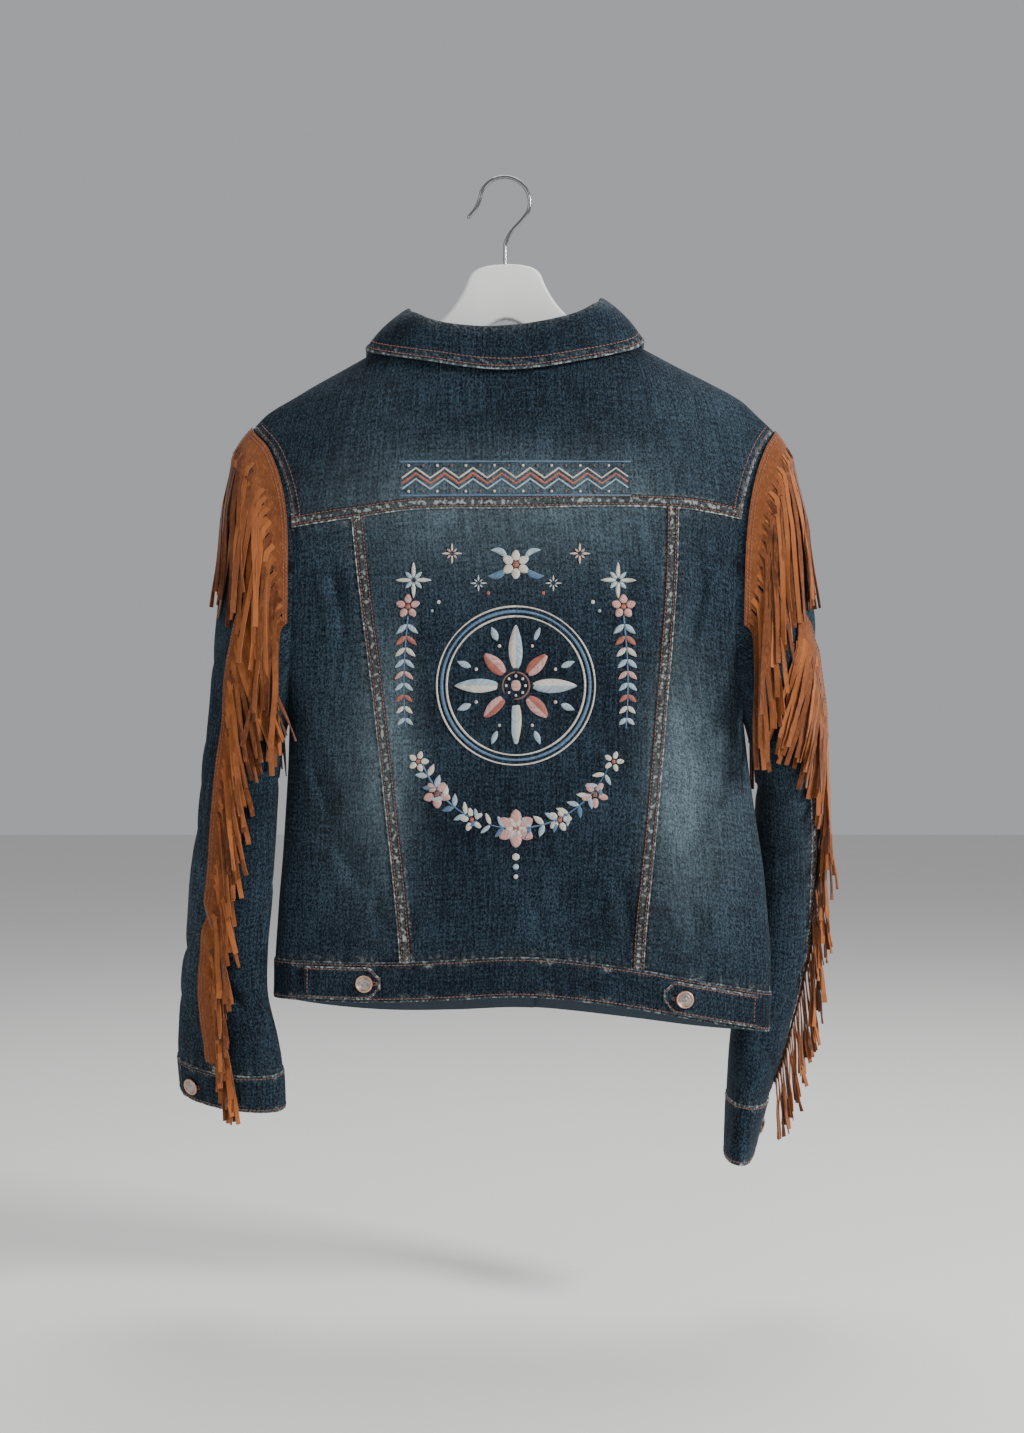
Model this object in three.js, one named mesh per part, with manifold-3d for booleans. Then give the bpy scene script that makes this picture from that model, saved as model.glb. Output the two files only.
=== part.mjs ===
// A denim fringe jacket on a coat hanger, in millimetres, +Z up.
// The origin is the inside top of the hanger's hook, where a finger or a rail holds it.
// The back of the garment faces -Y, so +X is the wearer's right, and the front faces +Y.
import * as THREE from "three";
import { mergeVertices } from "three/addons/utils/BufferGeometryUtils.js";
import Module from "manifold-3d";

const wasm = await Module();
wasm.setup();

// Driving sizes
const CENTRE_X = 11; // the centre back, beside the hook's line
const CLOTH = 2; // denim wall
const BAND_CLOTH = 3.2; // waistband and cuffs, two layers
const SEAM_GAP = 0.3;
const SEAM_RISE = 0.9; // a felled seam stands this much proud
const SEAM_WIDTH = 12;
const ARCH = 80; // height over which the shoulder rounds from its ridge to full depth
const FOLD_FADE = 40; // the body's folds come in over this height below the ridge
const SECTION_FULLNESS = 0.3; // how boxy the flattened body section is
const HEM_LEVEL = -735; // the height at which the hem's line is read off the section
const BAND_HEIGHT = 37;
const TILT = 0.027; // the right arm of the hanger hangs higher
const NECK_HALF = 88;
const NECK_POINT_Z = -144;
const BACK_NECK_DROP = 32;
const FRONT_NECK_DROP = 88;
const FRONT_OVERLAP = 16; // each front passes the centre by this much
const OVERLAY = 2.6; // the right front lies this far over the left front
const PLACKET_WIDTH = 32;
const BUTTON_RADIUS = 8;
const DEG = Math.PI / 180;

// Body outline: x of each side edge, y of each side edge, and the half depth behind and before
const BODY = [
  { z: -90, left: -232, right: 249, leftY: 0, rightY: 0, back: 46, front: 46 },
  { z: -232, left: -232, right: 249, leftY: 0, rightY: 0, back: 47, front: 46 },
  { z: -250, left: -217, right: 238, leftY: 0, rightY: 0, back: 48, front: 46 },
  { z: -275, left: -205, right: 227, leftY: 0, rightY: 0, back: 50, front: 47 },
  { z: -305, left: -197, right: 219, leftY: 0, rightY: 0, back: 52, front: 48 },
  { z: -340, left: -194, right: 214, leftY: 0, rightY: 0, back: 53, front: 49 },
  { z: -380, left: -194, right: 212, leftY: 0, rightY: 0, back: 53, front: 50 },
  { z: -425, left: -196, right: 212, leftY: 0, rightY: 0, back: 52, front: 50 },
  { z: -465, left: -198, right: 216, leftY: 0, rightY: 0, back: 50, front: 49 },
  { z: -503, left: -200, right: 221, leftY: 0, rightY: 0, back: 49, front: 48 },
  { z: -560, left: -203, right: 228, leftY: 4, rightY: -4, back: 47, front: 46 },
  { z: -620, left: -207, right: 236, leftY: 8, rightY: -8, back: 45, front: 44 },
  { z: -690, left: -212, right: 244, leftY: 12, rightY: -11, back: 43, front: 43 },
  { z: -730, left: -215, right: 246, leftY: 14, rightY: -12, back: 41, front: 42 },
  { z: -830, left: -216, right: 242, leftY: 14, rightY: -12, back: 39, front: 41 },
];
const SHOULDER_Z = { left: -231, right: -234 };
const UNDERARM_Z = -503;
const ARMHOLE_DEPTH = 36;
const ARMHOLE_GAP = 0.6;

// Shoulder ridge, measured from the hook's line
const RIDGE = [
  { from: 0, z: -112 },
  { from: 60, z: -129 },
  { from: 88, z: -144 },
  { from: 127, z: -161.5 },
  { from: 160, z: -179 },
  { from: 190, z: -195.5 },
  { from: 220, z: -213 },
  { from: 235, z: -227 },
  { from: 249, z: -240.5 },
];

// Where the body ends at the waistband, at the back
const HEM = [
  { x: -240, z: -724 },
  { x: -180, z: -725 },
  { x: -110, z: -725 },
  { x: -45, z: -722 },
  { x: 10, z: -719 },
  { x: 60, z: -722 },
  { x: 125, z: -731 },
  { x: 185, z: -742 },
  { x: 250, z: -754 },
];
const FRONT_HEM_DROP = 19;

const YOKE_SEAM = [
  { x: -200, z: -328 },
  { x: -144, z: -320 },
  { x: -80, z: -312 },
  { x: 10, z: -311 },
  { x: 100, z: -309 },
  { x: 166, z: -311 },
  { x: 220, z: -320 },
];

// The two long seams that shape the back
const BACK_SEAMS = [
  { z: -300, left: -142, right: 159 },
  { z: -375, left: -134, right: 157 },
  { z: -480, left: -121, right: 149 },
  { z: -600, left: -108, right: 139 },
  { z: -700, left: -98, right: 129 },
  { z: -760, left: -95, right: 126 },
];

// Main soft folds of the body: a trough runs from top to foot, on the back or the front sheet
const BODY_FOLDS = [
  { sheet: 1, topX: 132, topZ: -250, footX: 150, footZ: -420, wide: 13, deep: 3.4 },
  { sheet: 1, topX: -150, topZ: -250, footX: -120, footZ: -350, wide: 16, deep: 2.6 },
  { sheet: 1, topX: 195, topZ: -520, footX: 160, footZ: -700, wide: 20, deep: 3.6 },
  { sheet: 1, topX: -178, topZ: -540, footX: -150, footZ: -690, wide: 18, deep: 3.2 },
  { sheet: 1, topX: 40, topZ: -600, footX: 70, footZ: -740, wide: 22, deep: 3 },
  { sheet: 1, topX: -40, topZ: -620, footX: -55, footZ: -740, wide: 20, deep: 2.4 },
  { sheet: -1, topX: 120, topZ: -260, footX: 90, footZ: -430, wide: 18, deep: 3.4 },
  { sheet: -1, topX: -105, topZ: -250, footX: -70, footZ: -440, wide: 18, deep: 3.6 },
  { sheet: -1, topX: 165, topZ: -500, footX: 120, footZ: -720, wide: 22, deep: 4 },
  { sheet: -1, topX: -150, topZ: -520, footX: -110, footZ: -730, wide: 22, deep: 3.6 },
];

// Sleeves: each row is a section, from its outer edge to its inner edge, and its half depth
const SLEEVES = {
  left: [
    { outX: -232, outY: 0, outZ: -231, inX: -200, inY: 0, inZ: -503, deep: 36 },
    { outX: -247, outY: 0, outZ: -252, inX: -203, inY: -1, inZ: -514, deep: 37 },
    { outX: -256, outY: 0, outZ: -298, inX: -205, inY: -2, inZ: -526, deep: 36 },
    { outX: -262, outY: -1, outZ: -360, inX: -207, inY: -4, inZ: -540, deep: 34 },
    { outX: -270, outY: -2, outZ: -430, inX: -209, inY: -7, inZ: -560, deep: 32 },
    { outX: -276, outY: -2, outZ: -500, inX: -211, inY: -10, inZ: -590, deep: 30 },
    { outX: -284, outY: 0, outZ: -565, inX: -213, inY: -12, inZ: -630, deep: 28 },
    { outX: -291, outY: 4, outZ: -635, inX: -217, inY: -13, inZ: -675, deep: 27 },
    { outX: -296, outY: 12, outZ: -695, inX: -221, inY: -12, inZ: -717, deep: 26 },
    { outX: -303, outY: 24, outZ: -745, inX: -221, inY: -6, inZ: -759, deep: 26 },
    { outX: -307, outY: 38, outZ: -790, inX: -213, inY: 6, inZ: -804, deep: 26 },
    { outX: -309, outY: 48, outZ: -819, inX: -209, inY: 16, inZ: -833, deep: 26 },
    { outX: -308, outY: 58, outZ: -852, inX: -208, inY: 26, inZ: -869, deep: 25 },
  ],
  right: [
    { outX: 249, outY: 0, outZ: -234, inX: 221, inY: 0, inZ: -503, deep: 36 },
    { outX: 262, outY: 0, outZ: -255, inX: 225, inY: 1, inZ: -514, deep: 37 },
    { outX: 271, outY: 2, outZ: -302, inX: 229, inY: 3, inZ: -527, deep: 36 },
    { outX: 280, outY: 6, outZ: -362, inX: 233, inY: 6, inZ: -543, deep: 34 },
    { outX: 289, outY: 14, outZ: -422, inX: 236, inY: 9, inZ: -566, deep: 32 },
    { outX: 295, outY: 26, outZ: -490, inX: 238, inY: 13, inZ: -597, deep: 31 },
    { outX: 294, outY: 44, outZ: -556, inX: 239, inY: 19, inZ: -637, deep: 31 },
    { outX: 288, outY: 64, outZ: -624, inX: 240, inY: 25, inZ: -682, deep: 32 },
    { outX: 278, outY: 82, outZ: -690, inX: 239, inY: 28, inZ: -728, deep: 33 },
    { outX: 262, outY: 94, outZ: -752, inX: 234, inY: 26, inZ: -776, deep: 31 },
    { outX: 249, outY: 97, outZ: -806, inX: 230, inY: 16, inZ: -822, deep: 26 },
    { outX: 235, outY: 92, outZ: -858, inX: 223, inY: 2, inZ: -864, deep: 19 },
    { outX: 224, outY: 84, outZ: -912, inX: 216, inY: -10, inZ: -916, deep: 13 },
  ],
};
const CUFF_ROW = 11; // the sleeve's cloth ends here and the cuff begins
const ELBOW_SEAM = 90; // degrees round the sleeve: 0 outer edge, 90 back, 180 inner edge, 270 front
const INNER_SEAM = 172;

// Main creases of each sleeve: rows from the armhole, place round the sleeve, and size
const SLEEVE_CREASES = [
  { row: 3.4, round: 120, wide: 0.35, spread: 60, deep: 2.6 },
  { row: 4.6, round: 60, wide: 0.4, spread: 70, deep: 2.8 },
  { row: 5.7, round: 150, wide: 0.35, spread: 60, deep: 2.4 },
  { row: 6.6, round: 40, wide: 0.4, spread: 60, deep: 2.6 },
  { row: 7.6, round: 130, wide: 0.4, spread: 70, deep: 2.2 },
  { row: 5.2, round: 270, wide: 0.4, spread: 80, deep: 3 },
  { row: 7.0, round: 290, wide: 0.4, spread: 70, deep: 2.6 },
  { row: 9.4, round: 250, wide: 0.5, spread: 80, deep: 2.2 },
];

// A smooth line through a table's rows: Hermite cubics with finite-difference slopes
function line(rows, key, name) {
  const sign = rows[1][key] > rows[0][key] ? 1 : -1;
  const slope = (i) => {
    const a = rows[Math.max(i - 1, 0)];
    const b = rows[Math.min(i + 1, rows.length - 1)];
    return (b[name] - a[name]) / (b[key] - a[key]);
  };
  return (at) => {
    let i = 0;
    while (i < rows.length - 2 && sign * at > sign * rows[i + 1][key]) i++;
    const span = rows[i + 1][key] - rows[i][key];
    const t = Math.min(1, Math.max(0, (at - rows[i][key]) / span));
    const t2 = t * t;
    const t3 = t2 * t;
    return (
      (2 * t3 - 3 * t2 + 1) * rows[i][name] +
      (t3 - 2 * t2 + t) * span * slope(i) +
      (3 * t2 - 2 * t3) * rows[i + 1][name] +
      (t3 - t2) * span * slope(i + 1)
    );
  };
}

const body = {};
for (const name of ["left", "right", "leftY", "rightY", "back", "front"]) {
  body[name] = line(BODY, "z", name);
}
const ridgeLine = line(RIDGE, "from", "z");
const ridge = (x) => ridgeLine(Math.abs(x)) + TILT * x;
const backHem = line(HEM, "x", "z");
const yokeSeam = line(YOKE_SEAM, "x", "z");
const seamX = { left: line(BACK_SEAMS, "z", "left"), right: line(BACK_SEAMS, "z", "right") };
const lerp = THREE.MathUtils.lerp;
const smooth = (t) => THREE.MathUtils.smoothstep(t, 0, 1);
const spread = (count) => Array.from({ length: count + 1 }, (_, i) => i / count);

// The waistband's top edge; the front hangs lower than the back
function hem(angle) {
  const c = Math.cos(angle);
  return backHem(bodyX(angle, HEM_LEVEL)) - (c < 0 ? FRONT_HEM_DROP * c * c : 0);
}

// Half the armhole's depth at a height, nothing above the shoulder point and below the underarm
function armholeDepth(z, side) {
  const top = SHOULDER_Z[side];
  const along = (z - (top + UNDERARM_Z) / 2) / ((top - UNDERARM_Z) / 2);
  return Math.abs(along) >= 1 ? 0 : ARMHOLE_DEPTH * Math.sqrt(1 - along * along);
}

// How far the soft folds push a body point in
function bodyFold(x, z, sheet) {
  let push = 0;
  for (const fold of BODY_FOLDS) {
    if (fold.sheet !== sheet) continue;
    const t = (z - fold.topZ) / (fold.footZ - fold.topZ);
    if (t <= 0 || t >= 1) continue;
    const off = (x - lerp(fold.topX, fold.footX, t)) / fold.wide;
    push += fold.deep * Math.sin(Math.PI * t) ** 2 * Math.exp(-off * off);
  }
  return push;
}

// The body's outer surface: 0 is the centre back, 90 degrees the right side, 180 the centre front
function bodyX(angle, z) {
  const s = Math.sin(angle);
  const c = Math.cos(angle);
  const reach = s >= 0 ? body.right(z) - CENTRE_X : CENTRE_X - body.left(z);
  return CENTRE_X + reach * s * (1 + SECTION_FULLNESS * c * c);
}

function bodyAt(angle, z, fallGiven) {
  const x = bodyX(angle, z);
  const level = fallGiven === undefined ? z : ridge(x) - fallGiven;
  const c = Math.cos(angle);
  const sheet = c >= 0 ? 1 : -1;
  const fall = Math.max(0, ridge(x) - level);
  const arch = Math.sqrt(1 - (1 - Math.min(fall / ARCH, 1)) ** 2);
  const middle = sheet > 0 ? body.back(level) : body.front(level);
  const edge = armholeDepth(level, x < CENTRE_X ? "left" : "right");
  const swell = Math.abs(c) ** (1 + edge / ARMHOLE_DEPTH);
  const fold = bodyFold(x, level, sheet) * Math.min(1, fall / FOLD_FADE);
  const depth = SEAM_GAP / 2 + edge + (middle * arch - edge) * swell - fold;
  const across = (Math.sin(angle) + 1) / 2;
  const seamY = lerp(body.leftY(level), body.rightY(level), across);
  return new THREE.Vector3(x, seamY - sheet * depth, level);
}

function bodyNormal(angle, z) {
  const step = 0.012;
  const rise = 2;
  const x = bodyX(angle, z);
  const fall = Math.max(0, ridge(x) - z);
  const open = armholeDepth(z, x < CENTRE_X ? "left" : "right") > 0;
  const sameSheet = (a) => Math.cos(a) * Math.cos(angle - 1e-4 * Math.sin(2 * angle)) >= 0;
  const before = open && !sameSheet(angle - step) ? angle : angle - step;
  const after = open && !sameSheet(angle + step) ? angle : angle + step;
  const round = bodyAt(after, z, fall).sub(bodyAt(before, z, fall));
  const above =
    fall >= rise ? bodyAt(angle, z, fall - rise) : bodyAt(Math.PI - angle, z, rise - fall);
  const down = bodyAt(angle, z, fall + rise).sub(above);
  return down.cross(round).normalize();
}

function bodyOut(angle, z, out) {
  return bodyAt(angle, z).addScaledVector(bodyNormal(angle, z), out);
}

// The angle at which the body's section reaches x on the back sheet
function angleAt(x, z) {
  const reach = x >= CENTRE_X ? body.right(z) - CENTRE_X : CENTRE_X - body.left(z);
  const wanted = Math.min(1, Math.abs(x - CENTRE_X) / reach);
  let low = 0;
  let high = Math.PI / 2;
  for (let i = 0; i < 40; i++) {
    const middle = (low + high) / 2;
    const got = Math.sin(middle) * (1 + SECTION_FULLNESS * Math.cos(middle) ** 2);
    if (got < wanted) low = middle;
    else high = middle;
  }
  return Math.sign(x - CENTRE_X) * low;
}

// How many radians make this many millimetres round the body
function turn(angle, z, mm) {
  const step = 0.01;
  const length = bodyAt(angle + step / 2, z).distanceTo(bodyAt(angle - step / 2, z));
  return (mm * step) / Math.max(length, 0.2);
}

// A closed solid between two grids of points, open at its edges or closed into a ring
function gridSolid(outer, inner, ring = false) {
  const columns = outer.length;
  const rows = outer[0].length;
  const points = [...outer.flat(), ...inner.flat()].flatMap((p) => [p.x, p.y, p.z]);
  const at = (layer, i, j) => layer * columns * rows + (i % columns) * rows + j;
  const index = [];
  const quad = (a, b, c, d) => index.push(a, b, c, a, c, d);
  const spans = ring ? columns : columns - 1;
  for (let i = 0; i < spans; i++) {
    for (let j = 0; j < rows - 1; j++) {
      quad(at(0, i, j), at(0, i, j + 1), at(0, i + 1, j + 1), at(0, i + 1, j));
      quad(at(1, i, j), at(1, i + 1, j), at(1, i + 1, j + 1), at(1, i, j + 1));
    }
    quad(at(0, i, 0), at(0, i + 1, 0), at(1, i + 1, 0), at(1, i, 0));
    quad(at(0, i, rows - 1), at(1, i, rows - 1), at(1, i + 1, rows - 1), at(0, i + 1, rows - 1));
  }
  if (!ring) {
    const last = columns - 1;
    for (let j = 0; j < rows - 1; j++) {
      quad(at(0, 0, j), at(1, 0, j), at(1, 0, j + 1), at(0, 0, j + 1));
      quad(at(0, last, j), at(0, last, j + 1), at(1, last, j + 1), at(1, last, j));
    }
  }
  return faceOut(points, index);
}

// Turns the faces round if the solid came out inside out
function faceOut(points, index) {
  let volume = 0;
  const p = (i) => new THREE.Vector3(points[3 * i], points[3 * i + 1], points[3 * i + 2]);
  for (let i = 0; i < index.length; i += 3) {
    volume += p(index[i]).dot(p(index[i + 1]).cross(p(index[i + 2])));
  }
  for (let i = 0; volume < 0 && i < index.length; i += 3) {
    [index[i + 1], index[i + 2]] = [index[i + 2], index[i + 1]];
  }
  const geometry = new THREE.BufferGeometry();
  geometry.setAttribute("position", new THREE.Float32BufferAttribute(points, 3));
  geometry.setIndex(index);
  return geometry;
}

// A cloth wall under a surface: the surface gives a point moved out by any amount
function wall(surface, across, down, thick, rise = () => 0, ring = false) {
  const grid = (out) => across.map((s) => down.map((t) => surface(s, t, out(s, t))));
  return gridSolid(grid((s, t) => rise(s, t)), grid(() => -thick), ring);
}

// A panel of the body between two angles and two heights, each of which may vary along the other
function bodyPanel({ place, top, foot, across, down, rise, lift = () => 0, thick = CLOTH }) {
  const surface = (s, t, out) => {
    let z = lerp(-300, -700, t);
    let angle = 0;
    for (let pass = 0; pass < 6; pass++) {
      angle = place(s, z);
      const x = bodyX(angle, z);
      z = lerp(top(x), foot(angle), t);
    }
    return bodyOut(angle, z, out + lift(angle, z));
  };
  return wall(surface, across, down, thick, rise);
}

const SIDE = Math.PI / 2;
const ARMHOLE_SET = 0.004; // radians by which a panel stops short of the armhole's line
const gapIn = (angleOf, way) => (z) => {
  const angle = angleOf(z);
  return angle + way * turn(angle, z, SEAM_GAP / 2);
};
// At a side: the armhole's set above the underarm, half a seam gap below
function seamStop(z, side) {
  const open = Math.min(1, armholeDepth(z, side) / 6);
  return lerp(turn(SIDE, Math.min(z, UNDERARM_Z - 4), SEAM_GAP / 2), ARMHOLE_SET, open);
}
const seamAngle = (side) => (z) => angleAt(seamX[side](z), z);

// Yoke: its top edge follows the neck and the shoulder ridge
function neckline(x, isFront) {
  const across = Math.min(1, Math.abs(x) / NECK_HALF);
  const drop = isFront ? FRONT_NECK_DROP : BACK_NECK_DROP;
  return NECK_POINT_Z + TILT * x - drop * Math.sqrt(1 - across * across);
}
function topEdge(x, isFront) {
  return Math.abs(x) < NECK_HALF ? neckline(x, isFront) : ridge(x);
}

function yokeSolid() {
  const topXs = [-232, -210, -178, -145, -115, -NECK_HALF, -87, -83, -70, -46, -18, 11, 40, 62, 78];
  topXs.push(86, NECK_HALF, 126, 160, 196, 226, 249);
  const edge = SIDE - ARMHOLE_SET;
  const angles = topXs.map((x, i) => {
    if (i === 0) return -edge;
    return i === topXs.length - 1 ? edge : angleAt(x, topEdge(x, false));
  });
  const archSteps = [0, 8, 17, 28, 42, 62].map((a) => ARCH * (1 - Math.cos(a * DEG)));
  const surface = (column, step, out) => {
    const angle = angles[column];
    const topX = topXs[column];
    const top = topEdge(topX, false);
    const foot = yokeSeam(bodyX(angle, -320)) + SEAM_GAP / 2;
    const strip = foot + SEAM_WIDTH;
    if (step === archSteps.length) return bodyOut(angle, strip, out);
    if (step === archSteps.length + 1) return bodyOut(angle, foot, out);
    const first = Math.max(0, ridge(topX) - top);
    const fall = lerp(first, ARCH * 1.05, archSteps[step] / archSteps.at(-1));
    const lowest = ridge(topX) - strip - 8;
    return bodyOut(angle, ridge(topX) - Math.max(Math.min(fall, lowest), first), out);
  };
  const rise = (column, step) => (step >= archSteps.length ? SEAM_RISE : 0);
  const columns = topXs.map((_, i) => i);
  const steps = [...archSteps.map((_, i) => i), archSteps.length, archSteps.length + 1];
  return wall(surface, columns, steps, CLOTH, rise);
}

const BACK_CENTRE_WIDTH = 240;

// Back: a centre panel that laps its raised edges over the two side panels
function backCentreSolid() {
  const strip = SEAM_WIDTH / BACK_CENTRE_WIDTH;
  const across = [0, strip, 0.17, 0.33, 0.5, 0.67, 0.83, 1 - strip, 1];
  return bodyPanel({
    place: (s, z) => lerp(gapIn(seamAngle("left"), 1)(z), gapIn(seamAngle("right"), -1)(z), s),
    top: (x) => yokeSeam(x) - SEAM_GAP / 2,
    foot: (angle) => hem(angle) + SEAM_GAP,
    across,
    down: spread(10),
    rise: (s) => (s <= strip || s >= 1 - strip ? SEAM_RISE : 0),
  });
}

function backSideSolid(side) {
  const outside = side === "left" ? -SIDE : SIDE;
  const seam = gapIn(seamAngle(side), side === "left" ? -1 : 1);
  const edge = (z) => outside - Math.sign(outside) * seamStop(z, side);
  return bodyPanel({
    place: (s, z) => lerp(edge(z), seam(z), s),
    top: (x) => yokeSeam(x) - SEAM_GAP / 2,
    foot: (angle) => hem(angle) + SEAM_GAP,
    across: spread(6),
    down: spread(12),
  });
}

// The right front lies over the left front near the centre
const CENTRE_FRONT = Math.PI;
const FRONT_REACH = 300; // millimetres to a radian near the centre front
const OVERLAY_RUN = 70; // the right front rises on to the left over this width
const overlap = (mm) => mm / FRONT_REACH;
function frontLift(angle) {
  const before = (CENTRE_FRONT - angle) * FRONT_REACH;
  return OVERLAY * smooth(1 - (before - FRONT_OVERLAP) / OVERLAY_RUN);
}

function frontSolid(side) {
  const way = side === "left" ? -1 : 1;
  const seam = (z) => way * (SIDE + seamStop(z, side));
  // Columns by where they meet the top edge, then the overlap past the centre
  const reach = side === "left" ? [-210, -178, -145, -115] : [226, 196, 160, 126];
  const neck = [NECK_HALF, 87, 83, 74, 60, 44].map((x) => (side === "left" ? -x : x));
  const columns = [...reach, ...neck].map((x) => Math.PI - angleAt(x, topEdge(x, true)));
  const past = [FRONT_OVERLAP, 0, -FRONT_OVERLAP].map((mm) => way * (CENTRE_FRONT - overlap(mm)));
  const angles = [0, ...columns.map((a) => (side === "left" ? a - 2 * Math.PI : a)), ...past];
  const topShare = [0, 0.001, 0.006, 0.02, 0.045, 0.09];
  const down = [...topShare, 0.16, 0.25, 0.35, 0.46, 0.58, 0.71, 0.85, 1];
  return bodyPanel({
    place: (column, z) => (column === 0 ? seam(z) : angles[column]),
    top: (x) => topEdge(x, true),
    foot: (angle) => hem(angle) + SEAM_GAP,
    across: angles.map((_, i) => i),
    down,
    lift: side === "right" ? (angle) => frontLift(angle) : undefined,
  });
}

const PLACKET_LIFT = 1.6;
function placketSolid() {
  const free = CENTRE_FRONT + overlap(FRONT_OVERLAP - 0.5);
  return bodyPanel({
    place: (s) => free - overlap(PLACKET_WIDTH) * (1 - s),
    top: (x) => topEdge(x, true) - 3,
    foot: (angle) => hem(angle) + 1,
    across: [0, 0.5, 1],
    down: spread(10),
    lift: (angle) => frontLift(angle) + PLACKET_LIFT,
    thick: 1.2,
  });
}

// Waistband: one strip from the left front's end round the back to the right front's end
const BAND_PROUD = 0.6;
function bandAt(angle, share, out) {
  const level = hem(angle) - 0.4 - share * BAND_HEIGHT;
  const lift = angle > 0 ? (frontLift(angle) * (BAND_CLOTH + 0.6)) / OVERLAY : 0;
  return bodyOut(angle, level, out + lift + BAND_PROUD);
}

function waistbandSolid() {
  const end = CENTRE_FRONT + overlap(FRONT_OVERLAP);
  const across = spread(44).map((s) => lerp(-end, end, s));
  return wall(bandAt, across, [0, 0.5, 1], BAND_CLOTH);
}

// Side tabs that draw the band in, each with a button at its free end
const TABS = {
  left: { sewnX: -184, freeX: -114, buttonX: -128 },
  right: { sewnX: 231, freeX: 145, buttonX: 164 },
};
const TAB_LEVEL = -745;
const TAB_PROUD = 2.4;
function tabSolid(side) {
  const tab = TABS[side];
  const across = spread(6).map((s) => angleAt(lerp(tab.sewnX, tab.freeX, s), TAB_LEVEL));
  const surface = (angle, share, out) => bandAt(angle, share, out + TAB_PROUD);
  return wall(surface, across, [0.12, 0.5, 0.93], 2);
}

// Sleeve surface: round in degrees, row along the table
const sleeveLine = {};
for (const side of ["left", "right"]) {
  const rows = SLEEVES[side].map((r, row) => ({ ...r, row }));
  sleeveLine[side] = {};
  for (const name of Object.keys(SLEEVES[side][0])) {
    sleeveLine[side][name] = line(rows, "row", name);
  }
}
function sleeveSection(side, row) {
  const at = (name) => sleeveLine[side][name](row);
  const outer = new THREE.Vector3(at("outX"), at("outY"), at("outZ"));
  const inner = new THREE.Vector3(at("inX"), at("inY"), at("inZ"));
  const centre = outer.clone().add(inner).multiplyScalar(0.5);
  return { centre, long: outer.sub(inner).multiplyScalar(0.5), deep: at("deep") };
}
function sleeveBase(side, round, row) {
  const here = sleeveSection(side, row);
  const last = SLEEVES[side].length - 1;
  const ahead = sleeveSection(side, Math.min(row + 0.4, last)).centre;
  const run = ahead.sub(sleeveSection(side, Math.max(row - 0.4, 0)).centre);
  const back = run.cross(here.long).normalize();
  if (side === "left") back.negate();
  const a = round * DEG;
  const point = here.centre.clone().addScaledVector(here.long, Math.cos(a));
  const start = Math.max(0, 1 - row / 2.5) ** 2;
  if (start > 0) {
    // The first section is the body's armhole edge
    const halfHeight = (SHOULDER_Z[side] - UNDERARM_Z) / 2;
    const z = UNDERARM_Z + halfHeight * (1 + Math.cos(a));
    const first = sleeveSection(side, 0);
    const plain = first.centre.x + first.long.x * Math.cos(a);
    point.x += start * (body[side](z) - plain + (side === "left" ? -ARMHOLE_GAP : ARMHOLE_GAP));
  }
  return point.addScaledVector(back, here.deep * Math.sin(a));
}
function sleeveNormal(side, round, row) {
  const last = SLEEVES[side].length - 1;
  const down = sleeveBase(side, round, Math.min(row + 0.15, last));
  down.sub(sleeveBase(side, round, Math.max(row - 0.15, 0)));
  const about = sleeveBase(side, round + 3, row).sub(sleeveBase(side, round - 3, row));
  const normal = about.cross(down).normalize();
  return side === "left" ? normal.negate() : normal;
}
function sleeveCrease(round, row) {
  let push = 0;
  for (const crease of SLEEVE_CREASES) {
    const turnOff = (((round - crease.round) % 360) + 540) % 360 - 180;
    if (Math.abs(turnOff) > crease.spread) continue;
    const skew = row - crease.row - (0.5 * turnOff) / crease.spread;
    const fade = Math.cos((turnOff / crease.spread) * SIDE) ** 2;
    push += crease.deep * fade * Math.exp(-((skew / crease.wide) ** 2));
  }
  return push;
}
function sleeveOut(side, round, row, out) {
  const push = row < CUFF_ROW ? sleeveCrease(round, row) * smooth((CUFF_ROW - row) / 1.5) : 0;
  return sleeveBase(side, round, row).addScaledVector(sleeveNormal(side, round, row), out - push);
}

// The sleeve's cloth: a top sleeve and an under sleeve, joined at the elbow and inner seams
const SLEEVE_START = 0.06;
const SLEEVE_FOOT = 10.985;
const sleeveRows = [SLEEVE_START, 0.6, 1.3, 2, 2.8, 3.4, 4, 4.6, 5.2, 5.8, 6.5, 7.2, 8, 8.8, 9.7];
sleeveRows.push(SLEEVE_FOOT);
const SEAM_TURN = 0.25; // degrees left at each side of a sleeve seam
function sleeveSolid(side, fromRound, toRound, count) {
  const rounds = spread(count).map((s) => lerp(fromRound + SEAM_TURN, toRound - SEAM_TURN, s));
  return wall((round, row, out) => sleeveOut(side, round, row, out), rounds, sleeveRows, CLOTH);
}

// Cuff: a ring whose closing end laps over itself at the back
const CUFF_TOP = 10.993;
const CUFF_FOOT = 12;
const CUFF_LAP = { from: 34, to: 96, rise: 1.4 };
const CUFF_PROUD = 0.8;
const CUFF_BUTTON = { round: 58, row: 11.55 };
function cuffSolid(side) {
  const rounds = [0, 15, CUFF_LAP.from, 55, 75, CUFF_LAP.to - 1, CUFF_LAP.to, 120, 145, 165, 180];
  rounds.push(200, 230, 270, 310, 335);
  const rise = (round) => (round >= CUFF_LAP.from && round < CUFF_LAP.to ? CUFF_LAP.rise : 0);
  const surface = (round, row, out) => sleeveOut(side, round, row, out + CUFF_PROUD);
  return wall(surface, rounds, [CUFF_TOP, 11.5, CUFF_FOOT], BAND_CLOTH, rise, true);
}

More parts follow.
